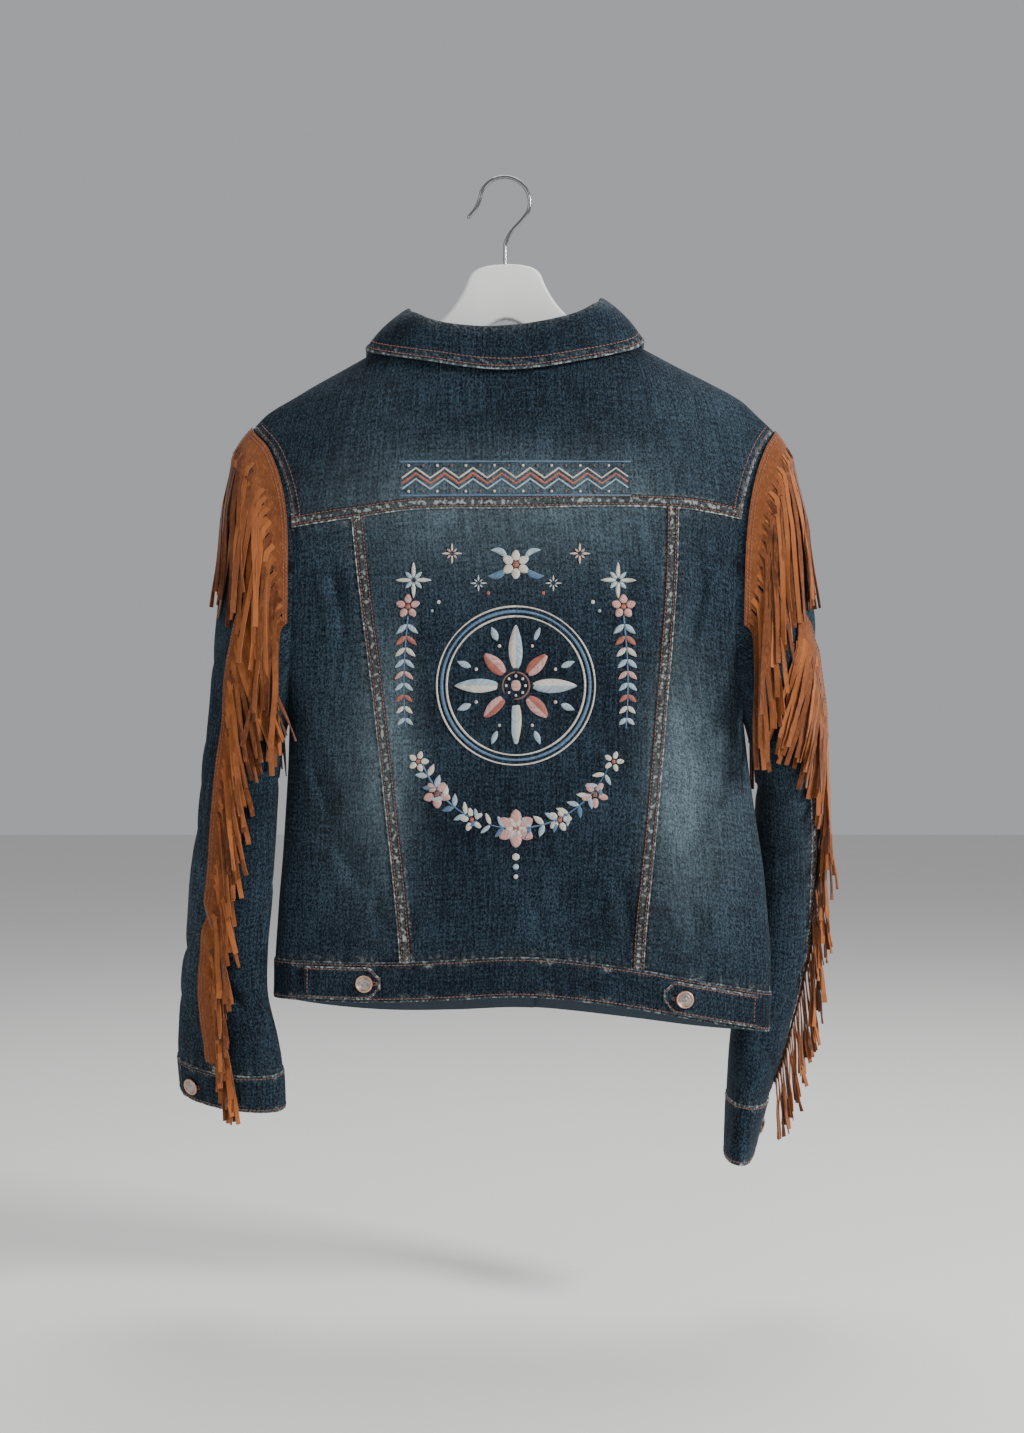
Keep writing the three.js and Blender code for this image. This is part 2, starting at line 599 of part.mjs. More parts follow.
// Collar: a stand up from the neck seam, a fold, and a fall over the shoulders
const COLLAR_END = 160; // degrees from the centre back
function collarSection(around) {
  const a = around * DEG;
  const s = Math.sin(a);
  const c = Math.cos(a);
  const isFront = c < 0;
  const toFront = Math.abs(c);
  const x = NECK_HALF * s;
  const lean = TILT * x;
  const seamZ = NECK_POINT_Z + lean - (isFront ? FRONT_NECK_DROP : BACK_NECK_DROP) * toFront;
  const seamAngleHere = isFront ? Math.PI - angleAt(x, seamZ) : angleAt(x, seamZ);
  const seam = bodyOut(seamAngleHere, seamZ, -1.1);
  seam.z += 2.4 + 4 * (1 - toFront) ** 3;
  const aside = new THREE.Vector3(46 * s, -NECK_HALF * c, 0).normalize();
  const height = isFront ? lerp(22, 19, toFront) : lerp(22, 29, smooth(2 * toFront));
  const fold = seam.clone().addScaledVector(aside, 1.2);
  fold.z += height + lean;
  const edgeX = 126 * s + (isFront ? 20 * toFront * Math.sign(s) : 0);
  const ridgeZ = ridge(edgeX);
  const edgeZ = isFront ? ridgeZ - 160 * toFront ** 1.15 : lerp(ridgeZ, -185, toFront ** 0.9);
  const sheetAngle = (x, z) => (isFront ? Math.PI - angleAt(x, z) : angleAt(x, z));
  const edge = bodyOut(sheetAngle(edgeX, edgeZ), edgeZ, 5.4 + 1.6 * Math.abs(s));
  const stand = seam.clone().lerp(fold, 0.55).addScaledVector(aside, -0.8);
  const turnOver = fold.clone().addScaledVector(aside, 3.4);
  turnOver.z -= 1.2;
  const fall = turnOver.clone().lerp(edge, 0.5).addScaledVector(aside, 1.5);
  fall.z += 2 * Math.abs(s);
  return new THREE.CatmullRomCurve3([seam, stand, fold, turnOver, fall, edge], false, "centripetal");
}

function collarSolid() {
  const half = 1.1;
  const stations = spread(28).map((s) => lerp(-COLLAR_END, COLLAR_END, s));
  const curves = stations.map(collarSection);
  const shares = [0, 0.2, 0.36, 0.45, 0.54, 0.64, 0.76, 0.88, 1];
  const centre = curves.map((curve) => shares.map((t) => curve.getPoint(t)));
  const normal = (i, j) => {
    const a = centre[Math.max(i - 1, 0)][j];
    const b = centre[Math.min(i + 1, stations.length - 1)][j];
    const c = centre[i][Math.max(j - 1, 0)];
    const d = centre[i][Math.min(j + 1, shares.length - 1)];
    return b.clone().sub(a).cross(d.clone().sub(c)).normalize();
  };
  const moved = (out) =>
    centre.map((column, i) => column.map((p, j) => p.clone().addScaledVector(normal(i, j), out)));
  return gridSolid(moved(half), moved(-half));
}

// Points of the sleeve and of the body, with their normals, that strands have to stay clear of
function clearance(side) {
  const sleeve = [];
  for (let row = 0; row <= 12; row += 0.25) {
    for (let round = 0; round < 360; round += 7.5) {
      sleeve.push({ at: sleeveOut(side, round, row, 0), out: sleeveNormal(side, round, row) });
    }
  }
  const trunk = [];
  for (let z = -240; z >= -800; z -= 10) {
    for (const share of spread(30)) {
      const angle = (side === "left" ? -1 : 1) * lerp(0.3, Math.PI - 0.3, share);
      trunk.push({ at: bodyAt(angle, z), out: bodyNormal(angle, z) });
    }
  }
  return [sleeve, trunk];
}
function nearest(point, samples) {
  let best = samples[0];
  let least = Infinity;
  for (const sample of samples) {
    const far = sample.at.distanceToSquared(point);
    if (far < least) {
      least = far;
      best = sample;
    }
  }
  return best;
}
function keepClear(point, surfaces, gap) {
  for (let pass = 0; pass < 3; pass++) {
    for (const samples of surfaces) {
      const best = nearest(point, samples);
      const above = point.clone().sub(best.at).dot(best.out);
      if (above < gap) point.addScaledVector(best.out, gap - above + 0.05);
    }
  }
  return point;
}

// One strand: a flat strip whose root is in the tape, which bends down under its own weight
const STRAND = { wide: 3.6, thick: 1.1 };
const STRAND_STATIONS = [0, 0.12, 0.5, 1];
function strandSolid({ root, start, hang, length, gap }, surfaces) {
  const path = [root.clone()];
  for (let i = 1; i < STRAND_STATIONS.length; i++) {
    const step = (STRAND_STATIONS[i] - STRAND_STATIONS[i - 1]) * length;
    const way = start.clone().lerp(hang, i === 1 ? 0.45 : 1).normalize();
    path.push(keepClear(path[i - 1].clone().addScaledVector(way, step), surfaces, gap));
  }
  const run = path.at(-1).clone().sub(root).normalize();
  const near = nearest(path[1], surfaces[0]);
  const facing = near.out.clone().addScaledVector(run, -near.out.dot(run)).normalize();
  const across = run.clone().cross(facing).normalize();
  const corner = (p, a, b) =>
    p
      .clone()
      .addScaledVector(across, (a * STRAND.wide) / 2)
      .addScaledVector(facing, (b * STRAND.thick) / 2);
  const left = path.map((p) => [corner(p, -1, -1), corner(p, -1, 1)]);
  const right = path.map((p) => [corner(p, 1, -1), corner(p, 1, 1)]);
  const top = [left.map((pair) => pair[1]), right.map((pair) => pair[1])];
  const under = [left.map((pair) => pair[0]), right.map((pair) => pair[0])];
  return gridSolid(top, under);
}

function manifoldOf(geometry) {
  const bare = geometry.clone();
  bare.deleteAttribute("normal");
  bare.deleteAttribute("uv");
  const merged = mergeVertices(bare, 1e-4);
  return new wasm.Manifold(
    new wasm.Mesh({
      numProp: 3,
      vertProperties: merged.attributes.position.array,
      triVerts: new Uint32Array(merged.index.array),
    }),
  );
}
function geometryOf(manifold) {
  const mesh = manifold.getMesh();
  const geometry = new THREE.BufferGeometry();
  geometry.setAttribute("position", new THREE.BufferAttribute(new Float32Array(mesh.vertProperties), 3));
  geometry.setIndex(new THREE.BufferAttribute(new Uint32Array(mesh.triVerts), 1));
  return geometry;
}

// The tapes that carry the strands: where each runs on its sleeve, and how its strands hang
const TAPE = { thick: 1.5 };
function tapeSurface(side, path, off) {
  return (s, share, out) => {
    const at = path(s, share, side);
    return sleeveOut(side, at.round, at.row, off + TAPE.thick + out);
  };
}
const shoulderPath = (s, share) => {
  const round = lerp(-112, 109, s);
  const low = 1 - Math.cos(round * DEG);
  const width = 0.56 + 0.4 * Math.abs(Math.sin(round * DEG));
  return { round, row: SLEEVE_START + 0.16 * low + share * width };
};
const SLEEVE_TAPE = {
  left: [
    { s: 0, round: 79, row: 2 },
    { s: 0.1, round: 62, row: 3 },
    { s: 0.2, round: 57, row: 4 },
    { s: 0.3, round: 59, row: 4.8 },
    { s: 0.5, round: 66, row: 6.6 },
    { s: 0.75, round: 72, row: 8.8 },
    { s: 1, round: 77, row: 10.6 },
  ],
  right: [
    { s: 0, round: 70, row: 2.5 },
    { s: 0.1, round: 48, row: 3.5 },
    { s: 0.2, round: 33, row: 4.3 },
    { s: 0.32, round: 28, row: 5.2 },
    { s: 0.5, round: 38, row: 6.8 },
    { s: 0.75, round: 58, row: 8.9 },
    { s: 1, round: 70, row: 10.6 },
  ],
};
const sleevePath = (s, share, side) => ({
  round: line(SLEEVE_TAPE[side], "s", "round")(s) + share * lerp(9, 24, s),
  row: line(SLEEVE_TAPE[side], "s", "row")(s) + share * 0.35 * Math.max(0, 1 - s / 0.3),
});

// Strands alternate between two layers: one from the tape's free edge, one from its middle lying over it
function fringeSolid(side, path, off, count, tapeSteps, strandOf) {
  const surface = tapeSurface(side, path, off);
  const surfaces = clearance(side);
  const within = -TAPE.thick * 0.5;
  let solid = manifoldOf(wall(surface, spread(tapeSteps), [0, 1], TAPE.thick));
  for (let k = 0; k < count; k++) {
    const s = (k + 0.5) / count;
    const over = k % 2;
    const strand = strandOf(s, k, side);
    strand.root = surface(s, over ? 0.5 : 0.88, within);
    strand.start = surface(s, 1, within).sub(surface(s, 0, within)).normalize();
    strand.hang = new THREE.Vector3(strand.lean, 0, -1).normalize();
    strand.gap += over ? 1.9 : 0;
    solid = solid.add(manifoldOf(strandSolid(strand, surfaces)));
  }
  const whole = solid.decompose().sort((a, b) => b.volume() - a.volume())[0];
  return geometryOf(whole.simplify(0.03));
}

const wave = (k, size) => size * Math.sin(k * 2.4);
const shoulderStrand = (s, k, side) => ({
  length: 138 + wave(k, 9),
  lean: (side === "left" ? -1 : 1) * 0.21 * Math.abs(Math.sin(shoulderPath(s, 0).round * DEG)),
  gap: 6.4,
});
const STRAND_LEAN = [
  { s: 0, left: 0.24, right: -0.36 },
  { s: 0.1, left: 0.24, right: -0.3 },
  { s: 0.3, left: 0.22, right: -0.08 },
  { s: 0.5, left: 0.2, right: 0.06 },
  { s: 1, left: 0.2, right: 0.1 },
];
const leanOf = { left: line(STRAND_LEAN, "s", "left"), right: line(STRAND_LEAN, "s", "right") };
const sleeveStrand = (s, k, side) => ({
  length: lerp(110, 60, s) + wave(k, 5),
  lean: leanOf[side](s),
  gap: 2.6,
});

// Jeans buttons: a flat disc with a raised rim on a short shank
function buttonGeometry() {
  const rim = BUTTON_RADIUS;
  const profile = [
    [0, 0],
    [rim * 0.6, 0],
    [rim, 1.8],
    [rim, 3.6],
    [rim * 0.78, 4.2],
    [0, 3.7],
  ];
  const points = profile.map(([r, h]) => new THREE.Vector2(r, h));
  return new THREE.LatheGeometry(points, 12);
}
function placed(geometry, point, normal) {
  const up = new THREE.Vector3(0, 1, 0);
  const mesh = new THREE.Mesh(geometry);
  mesh.position.copy(point);
  mesh.quaternion.setFromUnitVectors(up, normal);
  return mesh;
}

const FRONT_BUTTONS_Z = [-268, -357, -446, -535, -624, -713];
const BUTTON_SEAT = 0.55; // each button's back stands this far off its cloth

// Hanger: a flat wooden bow with a steel hook
const HANGER = { thick: 12, armEnd: 212, bevel: 2, clear: 5 };
const ARM_TOP = [
  { x: 0, z: -80 },
  { x: 18, z: -81.5 },
  { x: 31, z: -87.5 },
  { x: 38, z: -102 },
  { x: 47, z: -117 },
  { x: 60, z: -131 },
];
function hangerGeometry() {
  const top = ARM_TOP.map(({ x, z }) => [x, z]);
  for (let x = 84; x <= 198; x += 19) top.push([x, ridgeLine(x) - HANGER.clear]);
  const endZ = ridgeLine(HANGER.armEnd - 6) - HANGER.clear - 6;
  const end = [
    [HANGER.armEnd - 4, endZ - 2],
    [HANGER.armEnd, endZ - 10],
    [HANGER.armEnd - 6, endZ - 18],
  ];
  const under = [
    [190, -223],
    [150, -202],
    [110, -182],
    [60, -157],
    [25, -142],
  ];
  const right = [...top, ...end, ...under];
  const left = right.slice(1).map(([x, z]) => [-x, z]).reverse();
  const outline = [...right, [0, -131], ...left];
  const shape = new THREE.Shape(outline.map(([x, z]) => new THREE.Vector2(x, z + TILT * x)));
  const geometry = new THREE.ExtrudeGeometry(shape, {
    depth: HANGER.thick - 2 * HANGER.bevel,
    bevelThickness: HANGER.bevel,
    bevelSize: HANGER.bevel,
    bevelOffset: -HANGER.bevel,
    bevelSegments: 1,
    steps: 1,
    curveSegments: 1,
  });
  geometry.rotateX(Math.PI / 2);
  geometry.translate(0, HANGER.thick / 2 - HANGER.bevel, 0);
  return geometry;
}

const WIRE_RADIUS = 1.8;
const BOW_RADIUS = 23.5; // to the wire's centre line
function hookGeometry() {
  const centreZ = WIRE_RADIUS - BOW_RADIUS;
  const points = [
    [0, -79.6],
    [0, -70],
    [0.4, -60],
    [6, -49],
    [14.5, -39.5],
  ];
  for (let a = -22; a <= 176; a += 22) {
    points.push([BOW_RADIUS * Math.cos(a * DEG) - 0.5, centreZ + BOW_RADIUS * Math.sin(a * DEG)]);
  }
  points.push([-28, -28.5], [-35, -37]);
  const centreLine = points.map(([x, z]) => new THREE.Vector3(x, 0, z));
  const extrudePath = new THREE.CatmullRomCurve3(centreLine, false, "centripetal");
  const section = new THREE.Shape();
  section.absarc(0, 0, WIRE_RADIUS, 0, 2 * Math.PI, false);
  const settings = { steps: 32, curveSegments: 4, extrudePath, bevelEnabled: false };
  return new THREE.ExtrudeGeometry(section, settings);
}

// Finishes
function finish(color, roughness, metalness = 0) {
  return new THREE.MeshStandardMaterial({ color, roughness, metalness });
}
const denim = finish(0x1e3448, 0.9);
const suede = finish(0x9a5228, 0.95);
const copper = finish(0xb98468, 0.35, 0.9);
const whitePaint = finish(0xe6e6e0, 0.5);
const steel = finish(0xb8babd, 0.25, 1);

const jacket = new THREE.Group();
function add(name, geometry, material) {
  const mesh = geometry.isMesh ? geometry : new THREE.Mesh(geometry);
  mesh.name = name;
  mesh.material = material;
  jacket.add(mesh);
}

add("back_yoke", yokeSolid(), denim);
add("back_centre", backCentreSolid(), denim);
for (const side of ["left", "right"]) {
  add(`back_side_${side}`, backSideSolid(side), denim);
  add(`front_${side}`, frontSolid(side), denim);
  add(`sleeve_top_${side}`, sleeveSolid(side, INNER_SEAM - 360, ELBOW_SEAM, 14), denim);
  add(`sleeve_under_${side}`, sleeveSolid(side, ELBOW_SEAM, INNER_SEAM, 5), denim);
  add(`cuff_${side}`, cuffSolid(side), denim);
  add(`tab_${side}`, tabSolid(side), denim);
  add(`fringe_shoulder_${side}`, fringeSolid(side, shoulderPath, 0.75, 34, 24, shoulderStrand), suede);
  add(`fringe_sleeve_${side}`, fringeSolid(side, sleevePath, 0.9, 38, 26, sleeveStrand), suede);
}
add("front_placket", placketSolid(), denim);
add("waistband", waistbandSolid(), denim);
add("collar", collarSolid(), denim);

for (const side of ["left", "right"]) {
  const angle = angleAt(TABS[side].buttonX, TAB_LEVEL);
  const seat = bandAt(angle, 0.52, TAB_PROUD + BUTTON_SEAT);
  add(`button_tab_${side}`, placed(buttonGeometry(), seat, bodyNormal(angle, TAB_LEVEL)), copper);
  const { round, row } = CUFF_BUTTON;
  const cuffSeat = sleeveOut(side, round, row, CUFF_PROUD + CUFF_LAP.rise + BUTTON_SEAT);
  add(`button_cuff_${side}`, placed(buttonGeometry(), cuffSeat, sleeveNormal(side, round, row)), copper);
}
FRONT_BUTTONS_Z.forEach((z, i) => {
  const lift = frontLift(CENTRE_FRONT) + PLACKET_LIFT + 0.35;
  add(
    `button_front_${i + 1}`,
    placed(buttonGeometry(), bodyOut(CENTRE_FRONT, z, lift), bodyNormal(CENTRE_FRONT, z)),
    copper,
  );
});
const bandSeat = bandAt(CENTRE_FRONT, 0.5, BUTTON_SEAT);
add("button_front_band", placed(buttonGeometry(), bandSeat, bodyNormal(CENTRE_FRONT, -760)), copper);

add("hanger_bow", hangerGeometry(), whitePaint);
add("hanger_hook", hookGeometry(), steel);

export default jacket;
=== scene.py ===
"""A denim fringe jacket on a coat hanger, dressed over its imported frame."""

import math

import bmesh
import bpy
import numpy as np
from mathutils.kdtree import KDTree
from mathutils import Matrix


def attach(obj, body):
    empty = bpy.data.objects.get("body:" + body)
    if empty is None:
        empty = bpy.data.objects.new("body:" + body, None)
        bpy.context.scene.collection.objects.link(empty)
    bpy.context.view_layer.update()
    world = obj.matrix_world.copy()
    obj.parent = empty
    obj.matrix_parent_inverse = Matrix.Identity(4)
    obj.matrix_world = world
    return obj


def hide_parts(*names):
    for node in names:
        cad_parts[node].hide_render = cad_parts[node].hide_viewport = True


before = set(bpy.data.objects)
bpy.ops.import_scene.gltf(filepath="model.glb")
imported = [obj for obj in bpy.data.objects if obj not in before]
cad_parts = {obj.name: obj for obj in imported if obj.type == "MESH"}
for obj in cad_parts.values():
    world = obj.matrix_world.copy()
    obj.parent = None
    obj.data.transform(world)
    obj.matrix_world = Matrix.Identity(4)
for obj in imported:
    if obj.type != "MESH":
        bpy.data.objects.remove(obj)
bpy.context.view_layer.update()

MM = 0.001
PI = math.pi
SIDE = PI / 2

# Sizes of the garment in millimetres; FULLNESS and TILT are shares
CENTRE_X = 11.0
CLOTH = 1.8
BAND_CLOTH = 3.0
SEAM_RISE = 0.9
SEAM_WIDTH = 12.0
SEAM_LAP = 1.2
ARCH = 80.0
FULLNESS = 0.3
BAND_HEIGHT = 37.0
TILT = 0.027
NECK_HALF = 88.0
NECK_POINT_Z = -144.0
BACK_NECK_DROP = 32.0
FRONT_NECK_DROP = 88.0
FRONT_OVERLAP = 16.0
OVERLAY = 2.6
PLACKET_WIDTH = 32.0
UNDERARM_Z = -503.0
SHOULDER_Z = {"left": -231.0, "right": -234.0}
ARMHOLE_DEPTH = 36.0
FRONT_HEM_DROP = 19.0
FOOT_Z = -735.0
BAND_Z = -745.0
EDGE_GAP = 0.15
PUCKER_LENGTH = 8.3

# Millimetres of cloth to one radian round the body, at the front's edges and at the back's seams
FRONT_ARC = 300.0
BACK_ARC = 170.0

# How much deeper the small creases are pressed than their tables say
CREASE_PRESS = 2.3
SLEEVE_CREASE_PRESS = 1.9

# The body's outline: each side edge, where that edge lies front to back, and the half depths
BODY_KEYS = ("z", "left", "right", "left_y", "right_y", "back", "front")
BODY = [
    (-90, -232, 249, 0, 0, 46, 46),
    (-232, -232, 249, 0, 0, 47, 46),
    (-250, -217, 238, 0, 0, 48, 46),
    (-275, -205, 227, 0, 0, 50, 47),
    (-305, -197, 219, 0, 0, 52, 48),
    (-340, -194, 214, 0, 0, 53, 49),
    (-380, -194, 212, 0, 0, 53, 50),
    (-425, -196, 212, 0, 0, 52, 50),
    (-465, -198, 216, 0, 0, 50, 49),
    (-503, -200, 221, 0, 0, 49, 48),
    (-560, -203, 228, 4, -4, 47, 46),
    (-620, -207, 236, 8, -8, 45, 44),
    (-690, -212, 244, 12, -11, 43, 43),
    (-730, -215, 246, 14, -12, 41, 42),
    (-830, -216, 242, 14, -12, 39, 41),
]

# Lines of the back in x and z: the shoulders' ridge, the hem and the yoke's seam
RIDGE = [
    (0, -112), (60, -129), (88, -144), (127, -161.5), (160, -179),
    (190, -195.5), (220, -213), (235, -227), (249, -240.5),
]
HEM = [
    (-240, -724), (-180, -725), (-110, -725), (-45, -722), (10, -719),
    (60, -722), (125, -731), (185, -742), (250, -754),
]
YOKE_SEAM = [(-200, -328), (-144, -320), (-80, -312), (10, -311), (100, -309), (166, -311), (220, -320)]

# The two long seams of the back: z, x of the left one, x of the right one
BACK_SEAMS = [
    (-300, -142, 159),
    (-375, -134, 157),
    (-480, -121, 149),
    (-600, -108, 139),
    (-700, -98, 129),
    (-760, -95, 126),
]

# Soft folds of the body: 1 for the back or -1 for the front, top x and z, foot x and z, width, depth
BODY_FOLDS = [
    (1, 132, -250, 150, -420, 13, 3.4),
    (1, -150, -250, -120, -350, 16, 2.6),
    (1, 195, -520, 160, -700, 20, 3.6),
    (1, -178, -540, -150, -690, 18, 3.2),
    (1, 40, -600, 70, -740, 22, 3),
    (1, -40, -620, -55, -740, 20, 2.4),
    (-1, 120, -260, 90, -430, 18, 3.4),
    (-1, -105, -250, -70, -440, 18, 3.6),
    (-1, 165, -500, 120, -720, 22, 4),
    (-1, -150, -520, -110, -730, 22, 3.6),
]

# Short creases of the finished cloth: back or front, x and z of both ends, width, depth
FINE_FOLDS = [
    (1, 178, -330, 150, -470, 7, 2.5),
    (1, -170, -340, -150, -450, 7, 2.3),
    (1, 205, -520, 182, -600, 8, 3.0),
    (1, 186, -560, 150, -640, 9, 2.3),
    (1, -186, -520, -160, -610, 8, 2.8),
    (1, -165, -600, -128, -680, 9, 2.3),
    (1, 96, -330, 108, -420, 9, 1.7),
    (1, -60, -640, -78, -716, 8, 1.9),
    (1, 20, -650, 28, -712, 9, 1.7),
    (1, 100, -640, 112, -724, 8, 2.3),
    (1, 165, -660, 172, -735, 8, 2.5),
    (1, -120, -650, -122, -720, 7, 2.1),
    (1, -150, -262, -60, -250, 12, 1.5),
    (1, 60, -240, 150, -262, 12, 1.7),
    (-1, 170, -300, 150, -460, 8, 2.7),
    (-1, -160, -300, -140, -450, 8, 2.5),
    (-1, 80, -560, 100, -720, 9, 2.7),
    (-1, -70, -560, -90, -720, 9, 2.5),
    (-1, 195, -520, 170, -640, 8, 3.0),
    (-1, -180, -520, -150, -640, 8, 2.8),
]

# Each sleeve's rows from shoulder to cuff: its outer edge, its inner edge, and half its depth
SLEEVE_KEYS = ("out_x", "out_y", "out_z", "in_x", "in_y", "in_z", "deep")
SLEEVES = {
    "left": [
        (-232, 0, -231, -200, 0, -503, 36),
        (-247, 0, -252, -203, -1, -514, 37),
        (-256, 0, -298, -205, -2, -526, 36),
        (-262, -1, -360, -207, -4, -540, 34),
        (-270, -2, -430, -209, -7, -560, 32),
        (-276, -2, -500, -211, -10, -590, 30),
        (-284, 0, -565, -213, -12, -630, 28),
        (-291, 4, -635, -217, -13, -675, 27),
        (-296, 12, -695, -221, -12, -717, 26),
        (-303, 24, -745, -221, -6, -759, 26),
        (-307, 38, -790, -213, 6, -804, 26),
        (-309, 48, -819, -209, 16, -833, 26),
        (-308, 58, -852, -208, 26, -869, 25),
    ],
    "right": [
        (249, 0, -234, 221, 0, -503, 36),
        (262, 0, -255, 225, 1, -514, 37),
        (271, 2, -302, 229, 3, -527, 36),
        (280, 6, -362, 233, 6, -543, 34),
        (289, 14, -422, 236, 9, -566, 32),
        (295, 26, -490, 238, 13, -597, 31),
        (294, 44, -556, 239, 19, -637, 31),
        (288, 64, -624, 240, 25, -682, 32),
        (278, 82, -690, 239, 28, -728, 33),
        (262, 94, -752, 234, 26, -776, 31),
        (249, 97, -806, 230, 16, -822, 26),
        (235, 92, -858, 223, 2, -864, 19),
        (224, 84, -912, 216, -10, -916, 13),
    ],
}
CUFF_ROW = 11
ELBOW_SEAM = 90.0
INNER_SEAM = 172.0

# Creases of a sleeve: row, degrees round the sleeve, width in rows, spread in degrees, depth, slant
SLEEVE_CREASES = [
    (3.4, 120, 0.35, 60, 2.6, 0.5),
    (4.6, 60, 0.4, 70, 2.8, 0.5),
    (5.7, 150, 0.35, 60, 2.4, 0.5),
    (6.6, 40, 0.4, 60, 2.6, 0.5),
    (7.6, 130, 0.4, 70, 2.2, 0.5),
    (5.2, 270, 0.4, 80, 3, 0.5),
    (7.0, 290, 0.4, 70, 2.6, 0.5),
    (9.4, 250, 0.5, 80, 2.2, 0.5),
]
FINE_SLEEVE_CREASES = [
    (4.0, 20, 0.16, 50, 2.8, -0.7),
    (5.0, 350, 0.14, 45, 2.4, 0.6),
    (5.9, 10, 0.16, 50, 3.0, 0.8),
    (6.9, 345, 0.15, 45, 2.6, -0.6),
    (7.4, 60, 0.14, 50, 2.6, 0.9),
    (8.3, 20, 0.16, 55, 3.0, -0.8),
    (8.8, 110, 0.14, 45, 2.4, 0.7),
    (9.6, 40, 0.16, 50, 2.6, 0.6),
    (10.1, 130, 0.14, 45, 2.4, -0.6),
    (10.4, 330, 0.16, 50, 2.4, 0.7),
    (4.3, 200, 0.16, 45, 2.8, 0.7),
    (6.1, 220, 0.15, 50, 2.8, -0.7),
    (8.0, 240, 0.16, 50, 2.8, 0.7),
]


class Line:
    """A smooth line through the points of a table."""

    def __init__(self, keys, values):
        order = np.argsort(keys)
        self.keys = np.asarray(keys, float)[order]
        self.values = np.asarray(values, float)[order]
        spans = np.diff(self.keys)
        slopes = np.empty_like(self.values)
        slopes[1:-1] = (self.values[2:] - self.values[:-2]) / (self.keys[2:] - self.keys[:-2])
        slopes[0] = (self.values[1] - self.values[0]) / spans[0]
        slopes[-1] = (self.values[-1] - self.values[-2]) / spans[-1]
        self.slopes = slopes

    def __call__(self, at):
        at = np.clip(np.asarray(at, float), self.keys[0], self.keys[-1])
        i = np.clip(np.searchsorted(self.keys, at, side="right") - 1, 0, len(self.keys) - 2)
        span = self.keys[i + 1] - self.keys[i]
        t = (at - self.keys[i]) / span
        a = (2 * t**3 - 3 * t**2 + 1) * self.values[i]
        b = (t**3 - 2 * t**2 + t) * span * self.slopes[i]
        c = (3 * t**2 - 2 * t**3) * self.values[i + 1]
        d = (t**3 - t**2) * span * self.slopes[i + 1]
        return a + b + c + d


def lines_of(rows, names, key=0):
    """A line for each column of a table, by its name."""
    keys = [row[key] for row in rows]
    return {name: Line(keys, [row[i] for row in rows]) for i, name in enumerate(names) if i != key}


body = lines_of(BODY, BODY_KEYS)
ridge_line = Line(*zip(*RIDGE))
back_hem = Line(*zip(*HEM))
yoke_seam = Line(*zip(*YOKE_SEAM))
back_seam = lines_of(BACK_SEAMS, ("z", "left", "right"))
sleeve_line = {
    side: {n: Line(range(len(rows)), [r[i] for r in rows]) for i, n in enumerate(SLEEVE_KEYS)}
    for side, rows in SLEEVES.items()
}


def smooth(t):
    t = np.clip(t, 0, 1)
    return t * t * (3 - 2 * t)


def mix(a, b, t):
    return a + (b - a) * t


def bell(distance, width):
    """1 at no distance, and nearly 0 beyond twice the width."""
    return np.exp(-((distance / width) ** 2))


def ridge(x):
    return ridge_line(np.abs(x)) + TILT * x


def body_x(angle, z):
    """The x of a place round the body, which is fuller between its middle and its side."""
    s, c = np.sin(angle), np.cos(angle)
    reach = np.where(s >= 0, body["right"](z) - CENTRE_X, CENTRE_X - body["left"](z))
    return CENTRE_X + reach * s * (1 + FULLNESS * c * c)


def armhole_depth(z, is_left):
    top = np.where(is_left, SHOULDER_Z["left"], SHOULDER_Z["right"])
    along = (z - (top + UNDERARM_Z) / 2) / ((top - UNDERARM_Z) / 2)
    return ARMHOLE_DEPTH * np.sqrt(np.clip(1 - along * along, 0, 1))


def folds(x, z, sheet, rows):
    """Soft folds that hang down, as far as each presses the cloth in."""
    push = np.zeros_like(x)
    for which, top_x, top_z, foot_x, foot_z, wide, deep in rows:
        t = np.clip((z - top_z) / (foot_z - top_z), 0, 1)
        off = (x - mix(top_x, foot_x, t)) / wide
        push += np.where(sheet == which, deep * np.sin(PI * t) ** 2 * bell(off, 1.0), 0)
    return push


def creases(x, z, sheet, rows):
    """Short folds that run any way: each is a trough with a softer ridge beside it."""
    push = np.zeros_like(x)
    for which, from_x, from_z, to_x, to_z, wide, deep in rows:
        way = np.array([to_x - from_x, to_z - from_z], float)
        length = np.hypot(*way)
        way /= length
        t = np.clip(((x - from_x) * way[0] + (z - from_z) * way[1]) / length, 0, 1)
        bow = 0.08 * length * np.sin(PI * t)
        off = ((x - from_x) * way[1] - (z - from_z) * way[0] + bow) / wide
        trough = bell(off, 1.0) - 0.55 * bell(off - 1.7, 1.0)
        push += np.where(sheet == which, CREASE_PRESS * deep * np.sin(PI * t) ** 2 * trough, 0)
    return push


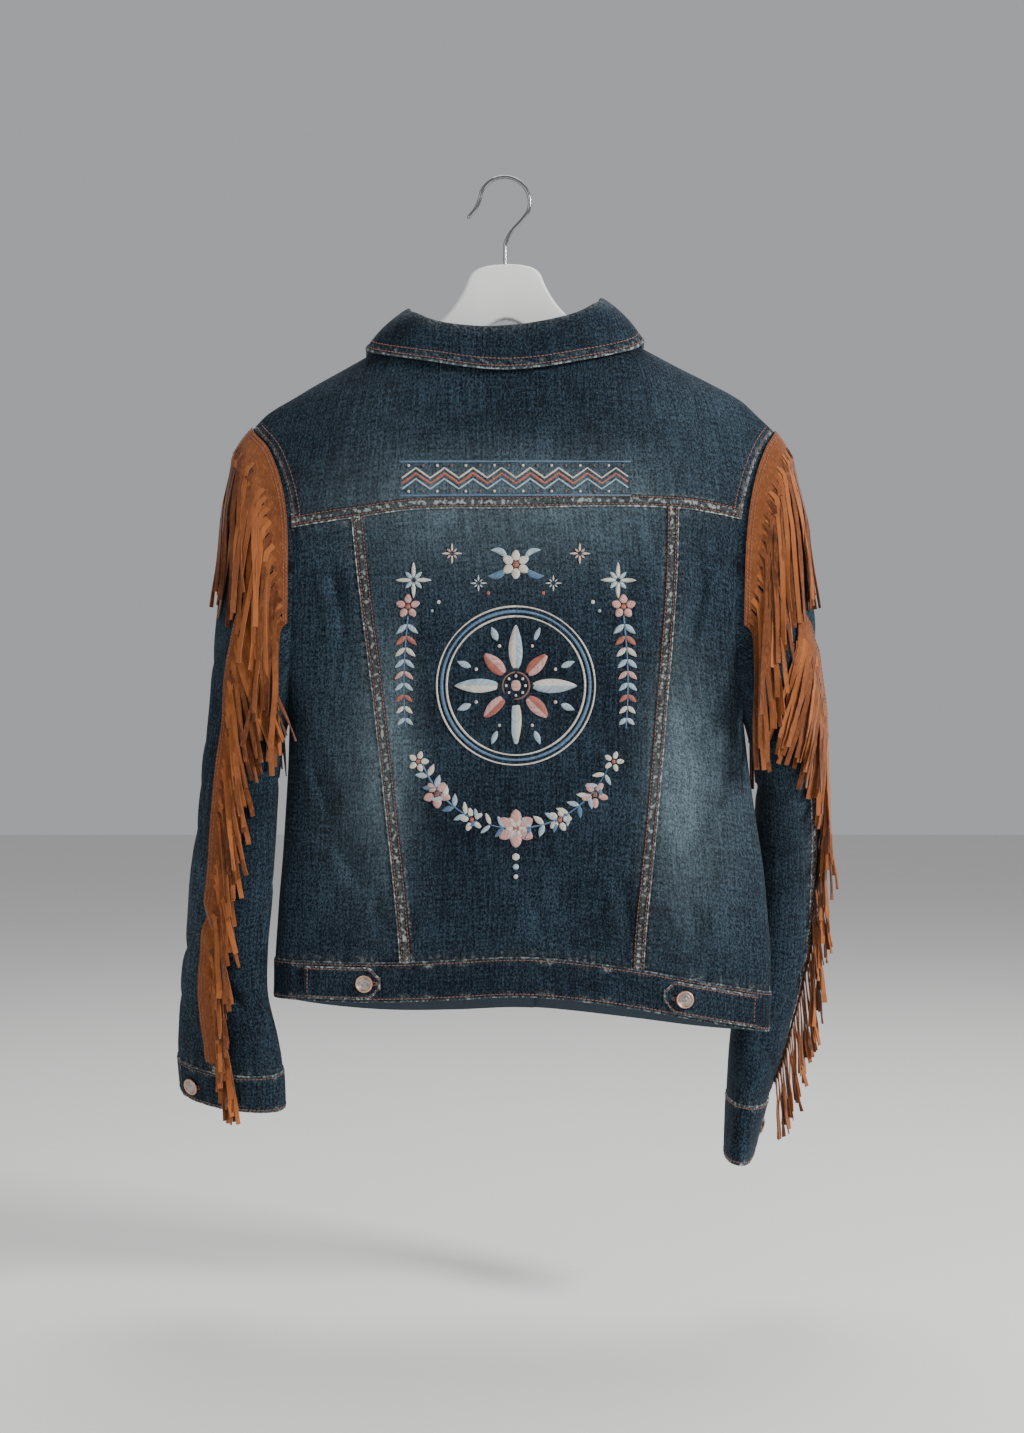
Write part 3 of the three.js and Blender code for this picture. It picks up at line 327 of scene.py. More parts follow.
def body_at(angle, z, fall_given=None):
    """The body's outer surface: 0 is the centre back, 90 degrees the right side, 180 the centre front."""
    angle, z = np.broadcast_arrays(np.asarray(angle, float), np.asarray(z, float))
    x = body_x(angle, z)
    if fall_given is not None:
        z = ridge(x) - fall_given
    c = np.cos(angle)
    sheet = np.where(c >= 0, 1, -1)
    fall = np.maximum(0, ridge(x) - z)
    arch = np.sqrt(1 - (1 - np.minimum(fall / ARCH, 1)) ** 2)
    middle = np.where(sheet > 0, body["back"](z), body["front"](z)) * arch
    edge = armhole_depth(z, x < CENTRE_X)
    swell = np.abs(c) ** (1 + edge / ARMHOLE_DEPTH)
    sink = folds(x, z, sheet, BODY_FOLDS) + creases(x, z, sheet, FINE_FOLDS)
    depth = EDGE_GAP + edge + (middle - edge) * swell - sink * np.minimum(1, fall / 40)
    seam_y = mix(body["left_y"](z), body["right_y"](z), (np.sin(angle) + 1) / 2)
    return np.stack([x, seam_y - sheet * depth, z], axis=-1)


def body_normal(angle, z):
    angle, z = np.broadcast_arrays(np.asarray(angle, float), np.asarray(z, float))
    fall = np.maximum(0, ridge(body_x(angle, z)) - z)
    around = body_at(angle + 0.012, z, fall) - body_at(angle - 0.012, z, fall)
    over_ridge = body_at(PI - angle, z, np.abs(2 - fall))
    above = np.where((fall >= 2)[..., None], body_at(angle, z, np.abs(fall - 2)), over_ridge)
    normal = np.cross(body_at(angle, z, fall + 2) - above, around)
    return normal / np.maximum(np.linalg.norm(normal, axis=-1, keepdims=True), 1e-9)


def body_out(angle, z, out):
    return body_at(angle, z) + body_normal(angle, z) * np.asarray(out, float)[..., None]


def angle_at(x, z):
    """The angle round the back at which the body has a given x, found by halving the span."""
    reach = np.where(x >= CENTRE_X, body["right"](z) - CENTRE_X, CENTRE_X - body["left"](z))
    wanted = np.minimum(1, np.abs(x - CENTRE_X) / reach)
    low = np.zeros_like(wanted)
    high = np.full_like(wanted, SIDE)
    for _ in range(30):
        middle = (low + high) / 2
        got = np.sin(middle) * (1 + FULLNESS * np.cos(middle) ** 2)
        low = np.where(got < wanted, middle, low)
        high = np.where(got < wanted, high, middle)
    return np.sign(x - CENTRE_X) * low


def hem(angle):
    c = np.cos(angle)
    return back_hem(body_x(angle, FOOT_Z)) - np.where(c < 0, FRONT_HEM_DROP * c * c, 0)


def neckline(x, is_front):
    across = np.minimum(1, np.abs(x) / NECK_HALF)
    drop = FRONT_NECK_DROP if is_front else BACK_NECK_DROP
    return NECK_POINT_Z + TILT * x - drop * np.sqrt(1 - across * across)


def top_edge(x, is_front):
    return np.where(np.abs(x) < NECK_HALF, neckline(x, is_front), ridge(x))


def front_lift(angle):
    """How far the right front stands off, to lie over the left one."""
    before = (PI - angle) * FRONT_ARC
    return OVERLAY * smooth(1 - (before - FRONT_OVERLAP) / 70)


def sleeve_section(side, row):
    """A sleeve's centre at a row, the way from there to its outer edge, and half its depth."""
    at = {name: line(row) for name, line in sleeve_line[side].items()}
    outer = np.stack([at["out_x"], at["out_y"], at["out_z"]], axis=-1)
    inner = np.stack([at["in_x"], at["in_y"], at["in_z"]], axis=-1)
    return (outer + inner) / 2, (outer - inner) / 2, at["deep"]


def sleeve_crease(rounds, row, rows):
    """Creases that run round a part of the sleeve, at a slant."""
    push = np.zeros(np.broadcast(rounds, row).shape)
    for at_row, at_round, wide, spread, deep, slant in rows:
        off = (rounds - at_round + 180) % 360 - 180
        skew = row - at_row - slant * off / spread
        fade = np.where(np.abs(off) < spread, np.cos(off / spread * SIDE) ** 2, 0)
        push += deep * fade * bell(skew, wide)
    return push


def sleeve_at(side, rounds, row):
    """The sleeve's outer surface: 0 is its outer edge, 90 degrees its back, 180 its inner edge."""
    rounds, row = np.broadcast_arrays(np.asarray(rounds, float), np.asarray(row, float))
    last = len(SLEEVES[side]) - 1
    centre, long, deep = sleeve_section(side, row)
    ahead = sleeve_section(side, np.minimum(row + 0.4, last))[0]
    behind = sleeve_section(side, np.maximum(row - 0.4, 0))[0]
    back = np.cross(ahead - behind, long)
    back /= np.linalg.norm(back, axis=-1, keepdims=True)
    if side == "left":
        back = -back
    a = np.radians(rounds)
    point = centre + long * np.cos(a)[..., None]
    start = np.maximum(0, 1 - row / 2.5) ** 2
    top = SHOULDER_Z[side]
    z = (top + UNDERARM_Z) / 2 + (top - UNDERARM_Z) / 2 * np.cos(a)
    first, first_long, _ = sleeve_section(side, 0.0)
    plain = first[0] + first_long[0] * np.cos(a)
    point[..., 0] += start * (body[side](z) - plain + (-0.6 if side == "left" else 0.6))
    point += back * (deep * np.sin(a))[..., None]
    push = SLEEVE_CREASE_PRESS * sleeve_crease(rounds, row, FINE_SLEEVE_CREASES)
    push = push + sleeve_crease(rounds, row, SLEEVE_CREASES)
    push = push * smooth((CUFF_ROW - row) / 1.2) * smooth(row / 1.5)
    inward = centre - point
    inward /= np.maximum(np.linalg.norm(inward, axis=-1, keepdims=True), 1e-6)
    return point + inward * push[..., None]


# Sheets of cloth, and the meshes made from them


def grid_normals(points, ring=False):
    du = np.empty_like(points)
    if ring:
        du = np.roll(points, -1, axis=0) - np.roll(points, 1, axis=0)
    else:
        du[1:-1] = points[2:] - points[:-2]
        du[0] = points[1] - points[0]
        du[-1] = points[-1] - points[-2]
    dv = np.empty_like(points)
    dv[:, 1:-1] = points[:, 2:] - points[:, :-2]
    dv[:, 0] = points[:, 1] - points[:, 0]
    dv[:, -1] = points[:, -1] - points[:, -2]
    n = np.cross(dv, du)
    return n / np.maximum(np.linalg.norm(n, axis=-1, keepdims=True), 1e-9)


def lengths(points, axis):
    step = np.linalg.norm(np.diff(points, axis=axis), axis=-1)
    total = np.cumsum(step, axis=axis)
    pad = np.zeros_like(np.take(total, [0], axis=axis))
    return np.concatenate([pad, total], axis=axis)


def slack(points):
    """The slight unevenness of hanging cloth, in millimetres out from its surface."""
    x, y, z = points[..., 0], points[..., 1], points[..., 2]
    a = np.sin(x / 17.0 + 1.3 * np.sin(z / 41.0) + 0.7) * np.sin(z / 29.0 + 0.6 * np.sin(x / 23.0))
    b = np.sin((x + 0.7 * z) / 12.5 + np.sin(z / 33.0) + y / 30.0)
    c = np.sin((x - 0.5 * z) / 21.0 + 1.1 * np.sin(x / 37.0) - y / 25.0)
    return 0.42 * a + 0.24 * b * (0.5 + 0.5 * c) + 0.34 * c


def pucker_wave(run, seed):
    return np.sin(run * 2 * PI / PUCKER_LENGTH + seed + 1.7 * np.sin(run / 23.0 + seed))


class Sheet:
    """A cloth panel as a grid, with its normals and each point's distance from its four edges."""

    def __init__(self, points, outward, ring=False):
        self.ring = ring
        self.points = np.array(points, float)
        normals = grid_normals(self.points, ring)
        middle = self.points.shape[0] // 2, self.points.shape[1] // 2
        self.flip = np.dot(normals[middle], outward(self.points[middle])) < 0
        self.normals = -normals if self.flip else normals
        self.u = lengths(self.points, 0)
        self.v = lengths(self.points, 1)
        self.left = self.u
        self.right = self.u[-1:] - self.u
        self.top = self.v
        self.foot = self.v[:, -1:] - self.v
        self.rub = np.zeros(self.points.shape[:2])
        self.dye = np.zeros(self.points.shape[:2])
        self.rise = np.zeros(self.points.shape[:2])

    def side(self, name):
        return getattr(self, name)

    def along(self, name):
        return self.v if name in ("left", "right") else self.u

    def felled(self, name, width=SEAM_WIDTH, rise=SEAM_RISE, seed=0.0):
        """A raised double seam along one edge, drawn up into puckers by its stitching."""
        d = self.side(name)
        run = self.along(name)
        self.rise = np.maximum(self.rise, rise * smooth((width - d) / 1.6))
        short_wave = np.sin(run * 2 * PI / 5.9 + 2 * seed)
        pucker = (0.6 * pucker_wave(run, seed) + 0.4 * short_wave) * bell(d - width * 0.55, width)
        self.rise = self.rise + 0.38 * pucker
        uneven = 0.62 + 0.38 * np.sin(run / 19.0 + 2.3 * np.sin(run / 47.0 + seed))
        edge_lines = 2.0 * bell(d, 0.9) + 0.3 * uneven * bell(d - width, 1.0)
        between_rows = 0.7 * (0.6 + 0.4 * uneven) * np.exp(-(((d - width / 2) / 2.4) ** 4))
        self.rub += edge_lines * (0.9 + 0.2 * short_wave) + between_rows
        self.dye += 0.9 * np.exp(-(((d - width / 2) / 5.8) ** 4))

    def under(self, name, seed=0.0):
        """The softer puckers beside a neighbour's raised seam, and painted shade along the edge that lies
        beside or under it.
        """
        d = self.side(name)
        wave = pucker_wave(self.along(name), seed)
        self.rise = self.rise + 0.3 * wave * bell(d, 9.0)
        self.rub += 0.2 * smooth(0.4 + wave) * bell(d, 6.0)
        # Painted shade: the cloth is darkened right beside the raised seam or band that laps over this edge
        self.dye += 0.5 * bell(d, 3.0)

    def finish(self):
        """Moves the points out by what the edges and the cloth's slack have raised."""
        self.base = self.points.copy()
        self.points = self.points + self.normals * (self.rise + slack(self.points))[..., None]
        return self

    def inset(self, name, distance, start=0.0, end=1.0, lift=0.22):
        """Points and normals along an edge, a distance in from it."""
        d, p, n = self.side(name), self.points, self.normals
        if name in ("top", "foot"):
            d, p, n = d.T, p.transpose(1, 0, 2), n.transpose(1, 0, 2)
        count = d.shape[1]
        here = []
        for j in range(int(start * (count - 1)), int(end * (count - 1)) + 1):
            column = d[:, j]
            order = np.argsort(column)
            i = np.interp(distance, column[order], order)
            low = int(np.clip(np.floor(i), 0, len(column) - 2))
            t = i - low
            here.append((mix(p[low, j], p[low + 1, j], t), mix(n[low, j], n[low + 1, j], t)))
        points = np.array([a for a, _ in here])
        normals = np.array([b for _, b in here])
        return points + normals * lift, normals


def placed(name, data):
    obj = bpy.data.objects.new(name, data)
    bpy.context.scene.collection.objects.link(obj)
    return obj


def dressed(obj, material):
    obj.data.materials.append(material)
    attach(obj, "root")
    return obj


def tube_faces(first, rings, sides, capped=True):
    """Faces round a tube whose points go ring by ring from the first."""
    faces = []
    for start in range(first, first + (rings - 1) * sides, sides):
        for k in range(sides):
            n = (k + 1) % sides
            faces.append([start + k, start + n, start + sides + n, start + sides + k])
    if capped:
        last = first + (rings - 1) * sides
        faces.append([first + k for k in reversed(range(sides))])
        faces.append([last + k for k in range(sides)])
    return faces


def wall_faces(columns, rows, ring=False):
    """Faces of a thin wall: a grid of points in front, the same grid behind, and rims between them."""
    half = columns * rows
    index = np.arange(half).reshape(columns, rows)
    around = np.concatenate([index, index[:1]]) if ring else index
    a, b = around[:-1, :-1].ravel(), around[1:, :-1].ravel()
    c, d = around[1:, 1:].ravel(), around[:-1, 1:].ravel()
    faces = [np.stack([a, d, c, b], axis=1), np.stack([a, b, c, d], axis=1) + half]
    edges = [around[:, 0], around[::-1, -1]]
    if not ring:
        edges += [around[0, ::-1], around[-1]]
    for edge in edges:
        faces.append(np.stack([edge[:-1], edge[1:], edge[1:] + half, edge[:-1] + half], axis=1))
    return np.concatenate(faces)


def mesh_object(name, points, faces, uv=None, attributes=None, sharp=None):
    mesh = bpy.data.meshes.new(name)
    mesh.from_pydata((np.asarray(points) * MM).tolist(), [], faces)
    if uv is not None:
        layer = mesh.uv_layers.new(name="cloth")
        loops = np.empty(len(mesh.loops), dtype=np.int64)
        mesh.loops.foreach_get("vertex_index", loops)
        layer.data.foreach_set("uv", (np.asarray(uv)[loops] * MM).ravel())
    for key, values in (attributes or {}).items():
        attribute = mesh.attributes.new(name=key, type="FLOAT", domain="POINT")
        attribute.data.foreach_set("value", np.asarray(values, dtype=np.float32))
    mesh.polygons.foreach_set("use_smooth", [True] * len(mesh.polygons))
    mesh.update()
    mesh.validate()
    obj = placed(name, mesh)
    if sharp:
        mesh.set_sharp_from_angle(angle=sharp)
    return obj


# Washed places: x, z, half width, half height and strength
FADES = [
    (2, -290, 150, 34, 0.46),
    (5, -346, 118, 42, 0.2),
    (-78, -318, 66, 42, 0.2),
    (84, -318, 66, 42, 0.18),
    (-104, -520, 20, 92, 0.6),
    (-126, -560, 42, 106, 0.26),
    (156, -545, 25, 98, 0.6),
    (184, -590, 42, 104, 0.34),
    (160, -222, 62, 40, 0.1),
    (-130, -215, 62, 40, 0.08),
    (-300, -640, 26, 120, 0.2),
    (-262, -330, 30, 90, 0.14),
    (290, -560, 20, 130, 0.16),
]


def fade_of(points):
    """How far the wash has lightened a point of the cloth, from 0 to 1."""
    x, y, z = points[..., 0], points[..., 1], points[..., 2]
    pale = np.zeros_like(x)
    for cx, cz, wide, tall, strength in FADES:
        pale += strength * np.exp(-(((x - cx) / wide) ** 2) - ((z - cz) / tall) ** 2)
    return np.clip(np.where(y < 0, pale, 0.75 * pale), 0, 1)


def shell(name, node, sheet, thick=CLOTH, material=None):
    """Closes a sheet into a thin wall of cloth, in place of a node of the model."""
    inner = sheet.base - sheet.normals * thick
    columns, rows = sheet.points.shape[:2]
    half = columns * rows
    faces = wall_faces(columns, rows, sheet.ring)
    if sheet.flip:
        faces = faces[:, ::-1]
    middle = sheet.u[columns // 2]
    uv = np.stack([sheet.u - middle, sheet.foot], axis=-1).reshape(-1, 2)
    fade = fade_of(sheet.base).ravel()
    none = np.zeros(half)
    obj = mesh_object(
        name,
        np.concatenate([sheet.points.reshape(-1, 3), inner.reshape(-1, 3)]),
        faces.tolist(),
        uv=np.concatenate([uv, uv]),
        attributes={
            "fade": np.concatenate([fade, fade]),
            "rub": np.concatenate([np.clip(sheet.rub, 0, 2).ravel(), none]),
            "dye": np.concatenate([np.clip(sheet.dye, 0, 1).ravel(), none]),
            "inside": np.concatenate([none, none + 1]),
        },
        sharp=math.radians(50),
    )
    dressed(obj, material or denim)
    cut(sheet.points, sheet.ring)
    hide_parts(node)


def cut(outer, ring):
    p = (np.concatenate([outer, outer[:1]]) if ring else outer) * MM
    diagonal = np.cross(p[1:, 1:] - p[:-1, :-1], p[:-1, 1:] - p[1:, :-1])
    width = float(lengths(p, 0)[-1].max())
    length = float(lengths(p, 1)[:, -1].max())


def on_path(run, values, at):
    """The values of a path's points, read at lengths along it."""
    return np.stack([np.interp(at, run, values[:, k]) for k in range(3)], axis=1)


def run_of(path):
    step = np.linalg.norm(np.diff(path, axis=0), axis=1)
    return np.concatenate([[0], np.cumsum(step)])


# A stitch from end to end: place along it, share of its width, and how deep it dips
STITCH_STATIONS = [(-0.5, 0.55, -0.28), (-0.2, 1.0, 0.0), (0.2, 1.0, 0.0), (0.5, 0.55, -0.28)]


def stitches(name, rows, material, length=2.9, gap=0.75, wide=0.42):
    """Rows of sewing as one piece: each stitch a short spindle that dips into the cloth at its ends."""
    points, faces = [], []
    for path, normals in rows:
        run = run_of(path)
        count = int(run[-1] / (length + gap))
        if count < 1:
            continue
        middles = (np.arange(count) + 0.5) * run[-1] / count
        place = on_path(run, path, middles)
        up = on_path(run, normals, middles)
        way = on_path(run, path, middles + 0.6) - on_path(run, path, middles - 0.6)
        way /= np.linalg.norm(way, axis=1, keepdims=True)
        across = np.cross(way, up)
        across /= np.linalg.norm(across, axis=1, keepdims=True)
        for k in range(count):
            faces += tube_faces(len(points), len(STITCH_STATIONS), 4)
            for along, size, dip in STITCH_STATIONS:
                middle = place[k] + way[k] * along * length + up[k] * dip
                half, thick = across[k] * wide * size, up[k] * wide * 0.7 * size
                points += [middle + half, middle + thick, middle - half, middle - thick]
    dressed(mesh_object(name, points, faces), material)


# Finishes


class Socket:
    """An output socket that can be used in a sum."""

    def __init__(self, shader, output):
        self.shader = shader
        self.output = output

    def _math(self, operation, a, b):
        return self.shader.node("ShaderNodeMath", {"operation": operation}, {0: a, 1: b})

    def __add__(self, other):
        return self._math("ADD", self, other)

    __radd__ = __add__

    def __mul__(self, other):
        return self._math("MULTIPLY", self, other)

    __rmul__ = __mul__

    def __sub__(self, other):
        return self._math("SUBTRACT", self, other)

    def __rsub__(self, other):
        return self._math("SUBTRACT", other, self)

    def clamped(self):
        return self.shader.node("ShaderNodeClamp", {}, {"Value": self})

    def between(self, low, high):
        return self.shader.node("ShaderNodeMapRange", {}, {"Value": self, "From Min": low, "From Max": high})


class Shader:
    """A material whose nodes are made by one method."""

    def __init__(self, name):
        self.material = bpy.data.materials.new(name)
        self.material.use_nodes = True
        self.tree = self.material.node_tree
        self.tree.nodes.clear()

    def node(self, kind, settings, inputs, output=0):
        made = self.tree.nodes.new(kind)
        for key, value in settings.items():
            if key == "stops":
                self._stops(made.color_ramp, value)
            else:
                setattr(made, key, value)
        for key, value in inputs.items():
            socket = made.inputs[key]
            if isinstance(value, Socket):
                self.tree.links.new(value.output, socket)
            else:
                socket.default_value = value
        return Socket(self, made.outputs[output])

    def _stops(self, ramp, stops):
        while len(ramp.elements) < len(stops):
            ramp.elements.new(1.0)
        for element, (position, colour) in zip(ramp.elements, stops):
            element.position = position
            element.color = (*colour, 1.0)

    def attribute(self, name):
        return self.node("ShaderNodeAttribute", {"attribute_name": name}, {}, "Fac")

    def place(self, scale=(1, 1, 1)):
        here = self.node("ShaderNodeTexCoord", {}, {}, "Object")
        return self.node("ShaderNodeMapping", {}, {"Vector": here, "Scale": scale})

    def cloth(self, scale=(1, 1, 1), turn=0.0):
        here = self.node("ShaderNodeUVMap", {"uv_map": "cloth"}, {})
        return self.node("ShaderNodeMapping", {}, {"Vector": here, "Scale": scale, "Rotation": (0, 0, turn)})

    def noise(self, vector, scale, detail=3.0, roughness=0.5):
        values = {"Vector": vector, "Scale": scale, "Detail": detail, "Roughness": roughness}
        return self.node("ShaderNodeTexNoise", {}, values, "Fac")

    def waves(self, vector, scale, distortion=0.0):
        values = {"Vector": vector, "Scale": scale, "Distortion": distortion}
        return self.node("ShaderNodeTexWave", {}, values, "Fac")

    def colour(self, a, b, amount, blend="MIX"):
        values = {"Factor": amount, 6: a, 7: b}
        settings = {"data_type": "RGBA", "blend_type": blend, "clamp_factor": True}
        return self.node("ShaderNodeMix", settings, values, 2)

    def finish(self, base, roughness, height=None, bump=0.4, distance=0.0006, **fixed):
        surface = {"Base Color": base, "Roughness": roughness, **fixed}
        if height is not None:
            values = {"Height": height, "Strength": bump, "Distance": distance}
            surface["Normal"] = self.node("ShaderNodeBump", {}, values)
        shader = self.node("ShaderNodeBsdfPrincipled", {}, surface)
        out = self.tree.nodes.new("ShaderNodeOutputMaterial")
        self.tree.links.new(shader.output, out.inputs["Surface"])
        return self.material


# Colours of the cloth, from the darkest indigo dye to the rubbed edges, and its wrong side; the darkest also
# paints shade beside raised seams and under bands
INDIGO_DEEP = (0.0006, 0.0015, 0.0034, 1)
INDIGO = (0.0034, 0.0076, 0.0140, 1)
INDIGO_WORN = (0.040, 0.070, 0.098, 1)
INDIGO_PALE = (0.165, 0.228, 0.262, 1)
RUBBED = (0.40, 0.44, 0.42, 1)
WEFT = (0.075, 0.09, 0.105, 1)
SOFT_CLOTH = {"Sheen Weight": 0.025, "Sheen Roughness": 0.5, "Specular IOR Level": 0.12}
SOFT_SUEDE = {"Sheen Weight": 0.35, "Sheen Roughness": 0.45, "Specular IOR Level": 0.15}


def washed_denim(name, darken=0.0):
    s = Shader(name)
    fade, rub, inside, dye = (s.attribute(key) for key in ("fade", "rub", "inside", "dye"))
    grain = s.noise(s.cloth((1.0, 0.62, 1)), 560, 4, 0.78)
    fine = s.noise(s.cloth(), 1250, 2, 0.7)
    warp = s.noise(s.cloth((430, 24, 1)), 1.0, 3, 0.6)
    slub = s.noise(s.cloth((22, 420, 1)), 1.0, 3, 0.6)
    mottle = s.noise(s.place(), 55, 4, 0.6)
    cloud = s.noise(s.place(), 8, 3, 0.55)
    twill = s.waves(s.cloth((1, 1, 1), math.radians(62)), 310, 0.6)
    thread = (grain * 0.9 + fine * 0.55 + warp * 0.3 + slub * 0.16 - 0.45).between(0.33, 0.72)
    tone = (0.3 + 0.45 * mottle + 0.8 * cloud - 0.5 - darken).between(0.0, 0.55)
    light = (thread * (0.55 + 0.75 * tone)).clamped()
    base = s.colour(INDIGO_DEEP, INDIGO, light.between(0.05, 0.6))
    base = s.colour(base, INDIGO_WORN, light.between(0.4, 1.1))
    worn = fade * (0.08 + 1.5 * thread) * (0.35 + 0.8 * mottle)
    base = s.colour(base, INDIGO_PALE, worn.clamped())
    # Darkened towards the deepest indigo by the seams' deeper dye, and by painted shade beside raised seams
    # and under bands
    base = s.colour(base, INDIGO_DEEP, dye * 0.85)
    pucker = s.noise(s.place(), 300, 1, 0.5).between(0.53, 0.62)
    wear = (rub * (0.04 + 0.34 * thread + 0.95 * pucker)).clamped()
    base = s.colour(base, RUBBED, wear * 0.85)
    wrong_side = s.colour(INDIGO_WORN, WEFT, 0.15 + 0.6 * fine + 0.3 * warp)
    base = s.colour(base, wrong_side, inside)
    crumple = s.noise(s.place((1.0, 1.0, 0.55)), 24, 2, 0.45)
    height = twill * 0.2 + fine * 0.45 + grain * 0.5 + warp * 0.25 + crumple * 5.5
    rough = 0.8 + 0.14 * fine
    return s.finish(base, rough, height, 0.6, 0.0006, **SOFT_CLOTH)


def thread(name, colour, other):
    s = Shader(name)
    twist = s.waves(s.place(), 420, 1.5)
    tone = s.noise(s.place(), 140, 2)
    base = s.colour(colour, other, tone.between(0.35, 0.7))
    return s.finish(base, 0.6 + 0.2 * tone, twist, 0.3, 0.0002, **{"Sheen Weight": 0.2})


def satin_thread(name, colour, other):
    s = Shader(name)
    lay = s.waves(s.cloth(), 330, 1.6)
    tone = s.noise(s.place(), 210, 2)
    sheen_line = s.noise(s.cloth((560, 70, 1)), 1.0, 2)
    # Painted sheen: lighter streaks along the laid threads, mixed with random tone
    base = s.colour(colour, other, (0.3 * tone + 0.7 * sheen_line).between(0.36, 0.62))
    # Painted shade: darker lines in the grooves between the laid stitches
    base = s.colour(base, (0.02, 0.025, 0.03, 1), lay.between(0.55, 1.0) * 0.55)
    return s.finish(base, 0.45 + 0.2 * tone, lay, 0.55, 0.0003, **{"Sheen Weight": 0.25})


def rust_suede():
    s = Shader("rust_suede")
    nap = s.noise(s.place((1, 1, 0.35)), 520, 3, 0.65)
    tone = s.noise(s.place(), 42, 4, 0.6)
    strand = s.attribute("strand")
    shade = (0.4 * tone + 0.3 * nap + 0.6 * strand - 0.15).between(0.15, 0.85)
    base = s.colour((0.055, 0.014, 0.0045, 1), (0.34, 0.108, 0.031, 1), shade)
    base = s.colour(base, (0.4, 0.15, 0.055, 1), nap.between(0.52, 0.85) * 0.35)
    return s.finish(base, 0.86 + 0.1 * nap, nap, 0.5, 0.0005, **SOFT_SUEDE)


denim = washed_denim("washed_denim")
denim_band = washed_denim("washed_denim_band", 0.05)
rust_thread = thread("rust_thread", (0.17, 0.048, 0.022, 1), (0.27, 0.095, 0.045, 1))
embroidery_thread = {
    "cream": satin_thread("cream_thread", (0.44, 0.39, 0.31, 1), (0.76, 0.71, 0.62, 1)),
    "sky": satin_thread("sky_thread", (0.2, 0.3, 0.37, 1), (0.44, 0.56, 0.62, 1)),
    "blue": satin_thread("blue_thread", (0.035, 0.09, 0.17, 1), (0.10, 0.20, 0.33, 1)),
    "rust": satin_thread("red_rust_thread", (0.21, 0.045, 0.027, 1), (0.44, 0.13, 0.08, 1)),
    "brown": satin_thread("brown_thread", (0.13, 0.045, 0.035, 1), (0.2, 0.08, 0.06, 1)),
    "rose": satin_thread("rose_thread", (0.4, 0.175, 0.15, 1), (0.68, 0.39, 0.34, 1)),
}
suede = rust_suede()


def aged_copper():
    s = Shader("aged_copper")
    radius = s.attribute("radius")
    grain = s.noise(s.place(), 900, 3, 0.6)
    patina = s.noise(s.place(), 260, 3, 0.6)
    face = s.colour((0.2, 0.17, 0.155, 1), (0.48, 0.43, 0.4, 1), patina.between(0.3, 0.7))
    rim = s.colour((0.5, 0.27, 0.18, 1), (0.64, 0.38, 0.28, 1), patina)
    base = s.colour(face, rim, radius.between(0.72, 0.84))
    base = s.colour(base, (0.12, 0.075, 0.06, 1), patina.between(0.55, 0.8) * 0.5)
    return s.finish(base, 0.3 + 0.25 * patina, grain, 0.3, 0.0002, Metallic=0.92)


def satin_white():
    s = Shader("satin_white_paint")
    cloudy = s.noise(s.place(), 14, 3)
    fine = s.noise(s.place((1, 1, 0.2)), 220, 3)
    base = s.colour((0.74, 0.74, 0.72, 1), (0.8, 0.8, 0.785, 1), cloudy)
    return s.finish(base, 0.4 + 0.12 * cloudy, fine, 0.06, 0.0003, **{"Coat Weight": 0.15})


def polished_steel():
    s = Shader("polished_steel")
    fine = s.noise(s.place(), 500, 2)
    base = s.colour((0.2, 0.205, 0.215, 1), (0.34, 0.345, 0.355, 1), fine)
    return s.finish(base, 0.14 + 0.1 * fine, fine, 0.03, 0.0001, Metallic=1.0)


copper = aged_copper()
white_paint = satin_white()
steel = polished_steel()


# The cloth panels


def grid_of(across, down):
    return np.meshgrid(np.asarray(across, float), np.asarray(down, float), indexing="ij")


def body_panel(place, top, foot, across, down, lift=None):
    """A panel of the body: its place round the body, its top edge and foot, and how far it stands off."""
    s, t = grid_of(across, down)
    # A first guess of the heights, which each turn of the loop brings nearer
    z = mix(-300.0, -700.0, t)
    for _ in range(8):
        angle = place(s, z)
        z = mix(top(body_x(angle, z)), foot(angle), t)
    points = body_at(angle, z)
    if lift is not None:
        points = points + body_normal(angle, z) * lift(angle)[..., None]
    return points


def outward(point):
    return np.array([point[0] - CENTRE_X, point[1], 0.0])


def seam_side(side):
    return lambda z: angle_at(back_seam[side](z), z)


def spread(count, ease=0.0):
    """Even shares from 0 to 1, closer together at both ends by the ease."""
    t = np.linspace(0, 1, count + 1)
    return t - ease * np.sin(2 * PI * t) / (2 * PI)


# Distances from a sewn edge at which the cloth has its rows, in millimetres
SEWN_EDGE = (0, 0.5, 1, 1.6, 2.4, 3.2, 4.2, 5.2, 6.2, 7.2, 8.2, 9.2, 10.2, 11.2, 11.9, 12.6, 13.6, 15.2, 18)


def stations(length, first, last, step=3.8):
    """Shares from 0 to 1 across a panel, closer together beside an edge that is sewn."""
    near = np.array(SEWN_EDGE if first else (0.0,), float)
    far = length - np.array(SEWN_EDGE if last else (0.0,), float)[::-1]
    between = np.linspace(near[-1], far[0], max(3, int((far[0] - near[-1]) / step)))[1:-1]
    return np.concatenate([near, between, far]) / length


LAP_ANGLE = SEAM_LAP / BACK_ARC

# Radians by which a panel stops short of the side seam, and millimetres of it under the waistband
SIDE_STOP = 0.002
HEM_TUCK = 0.6


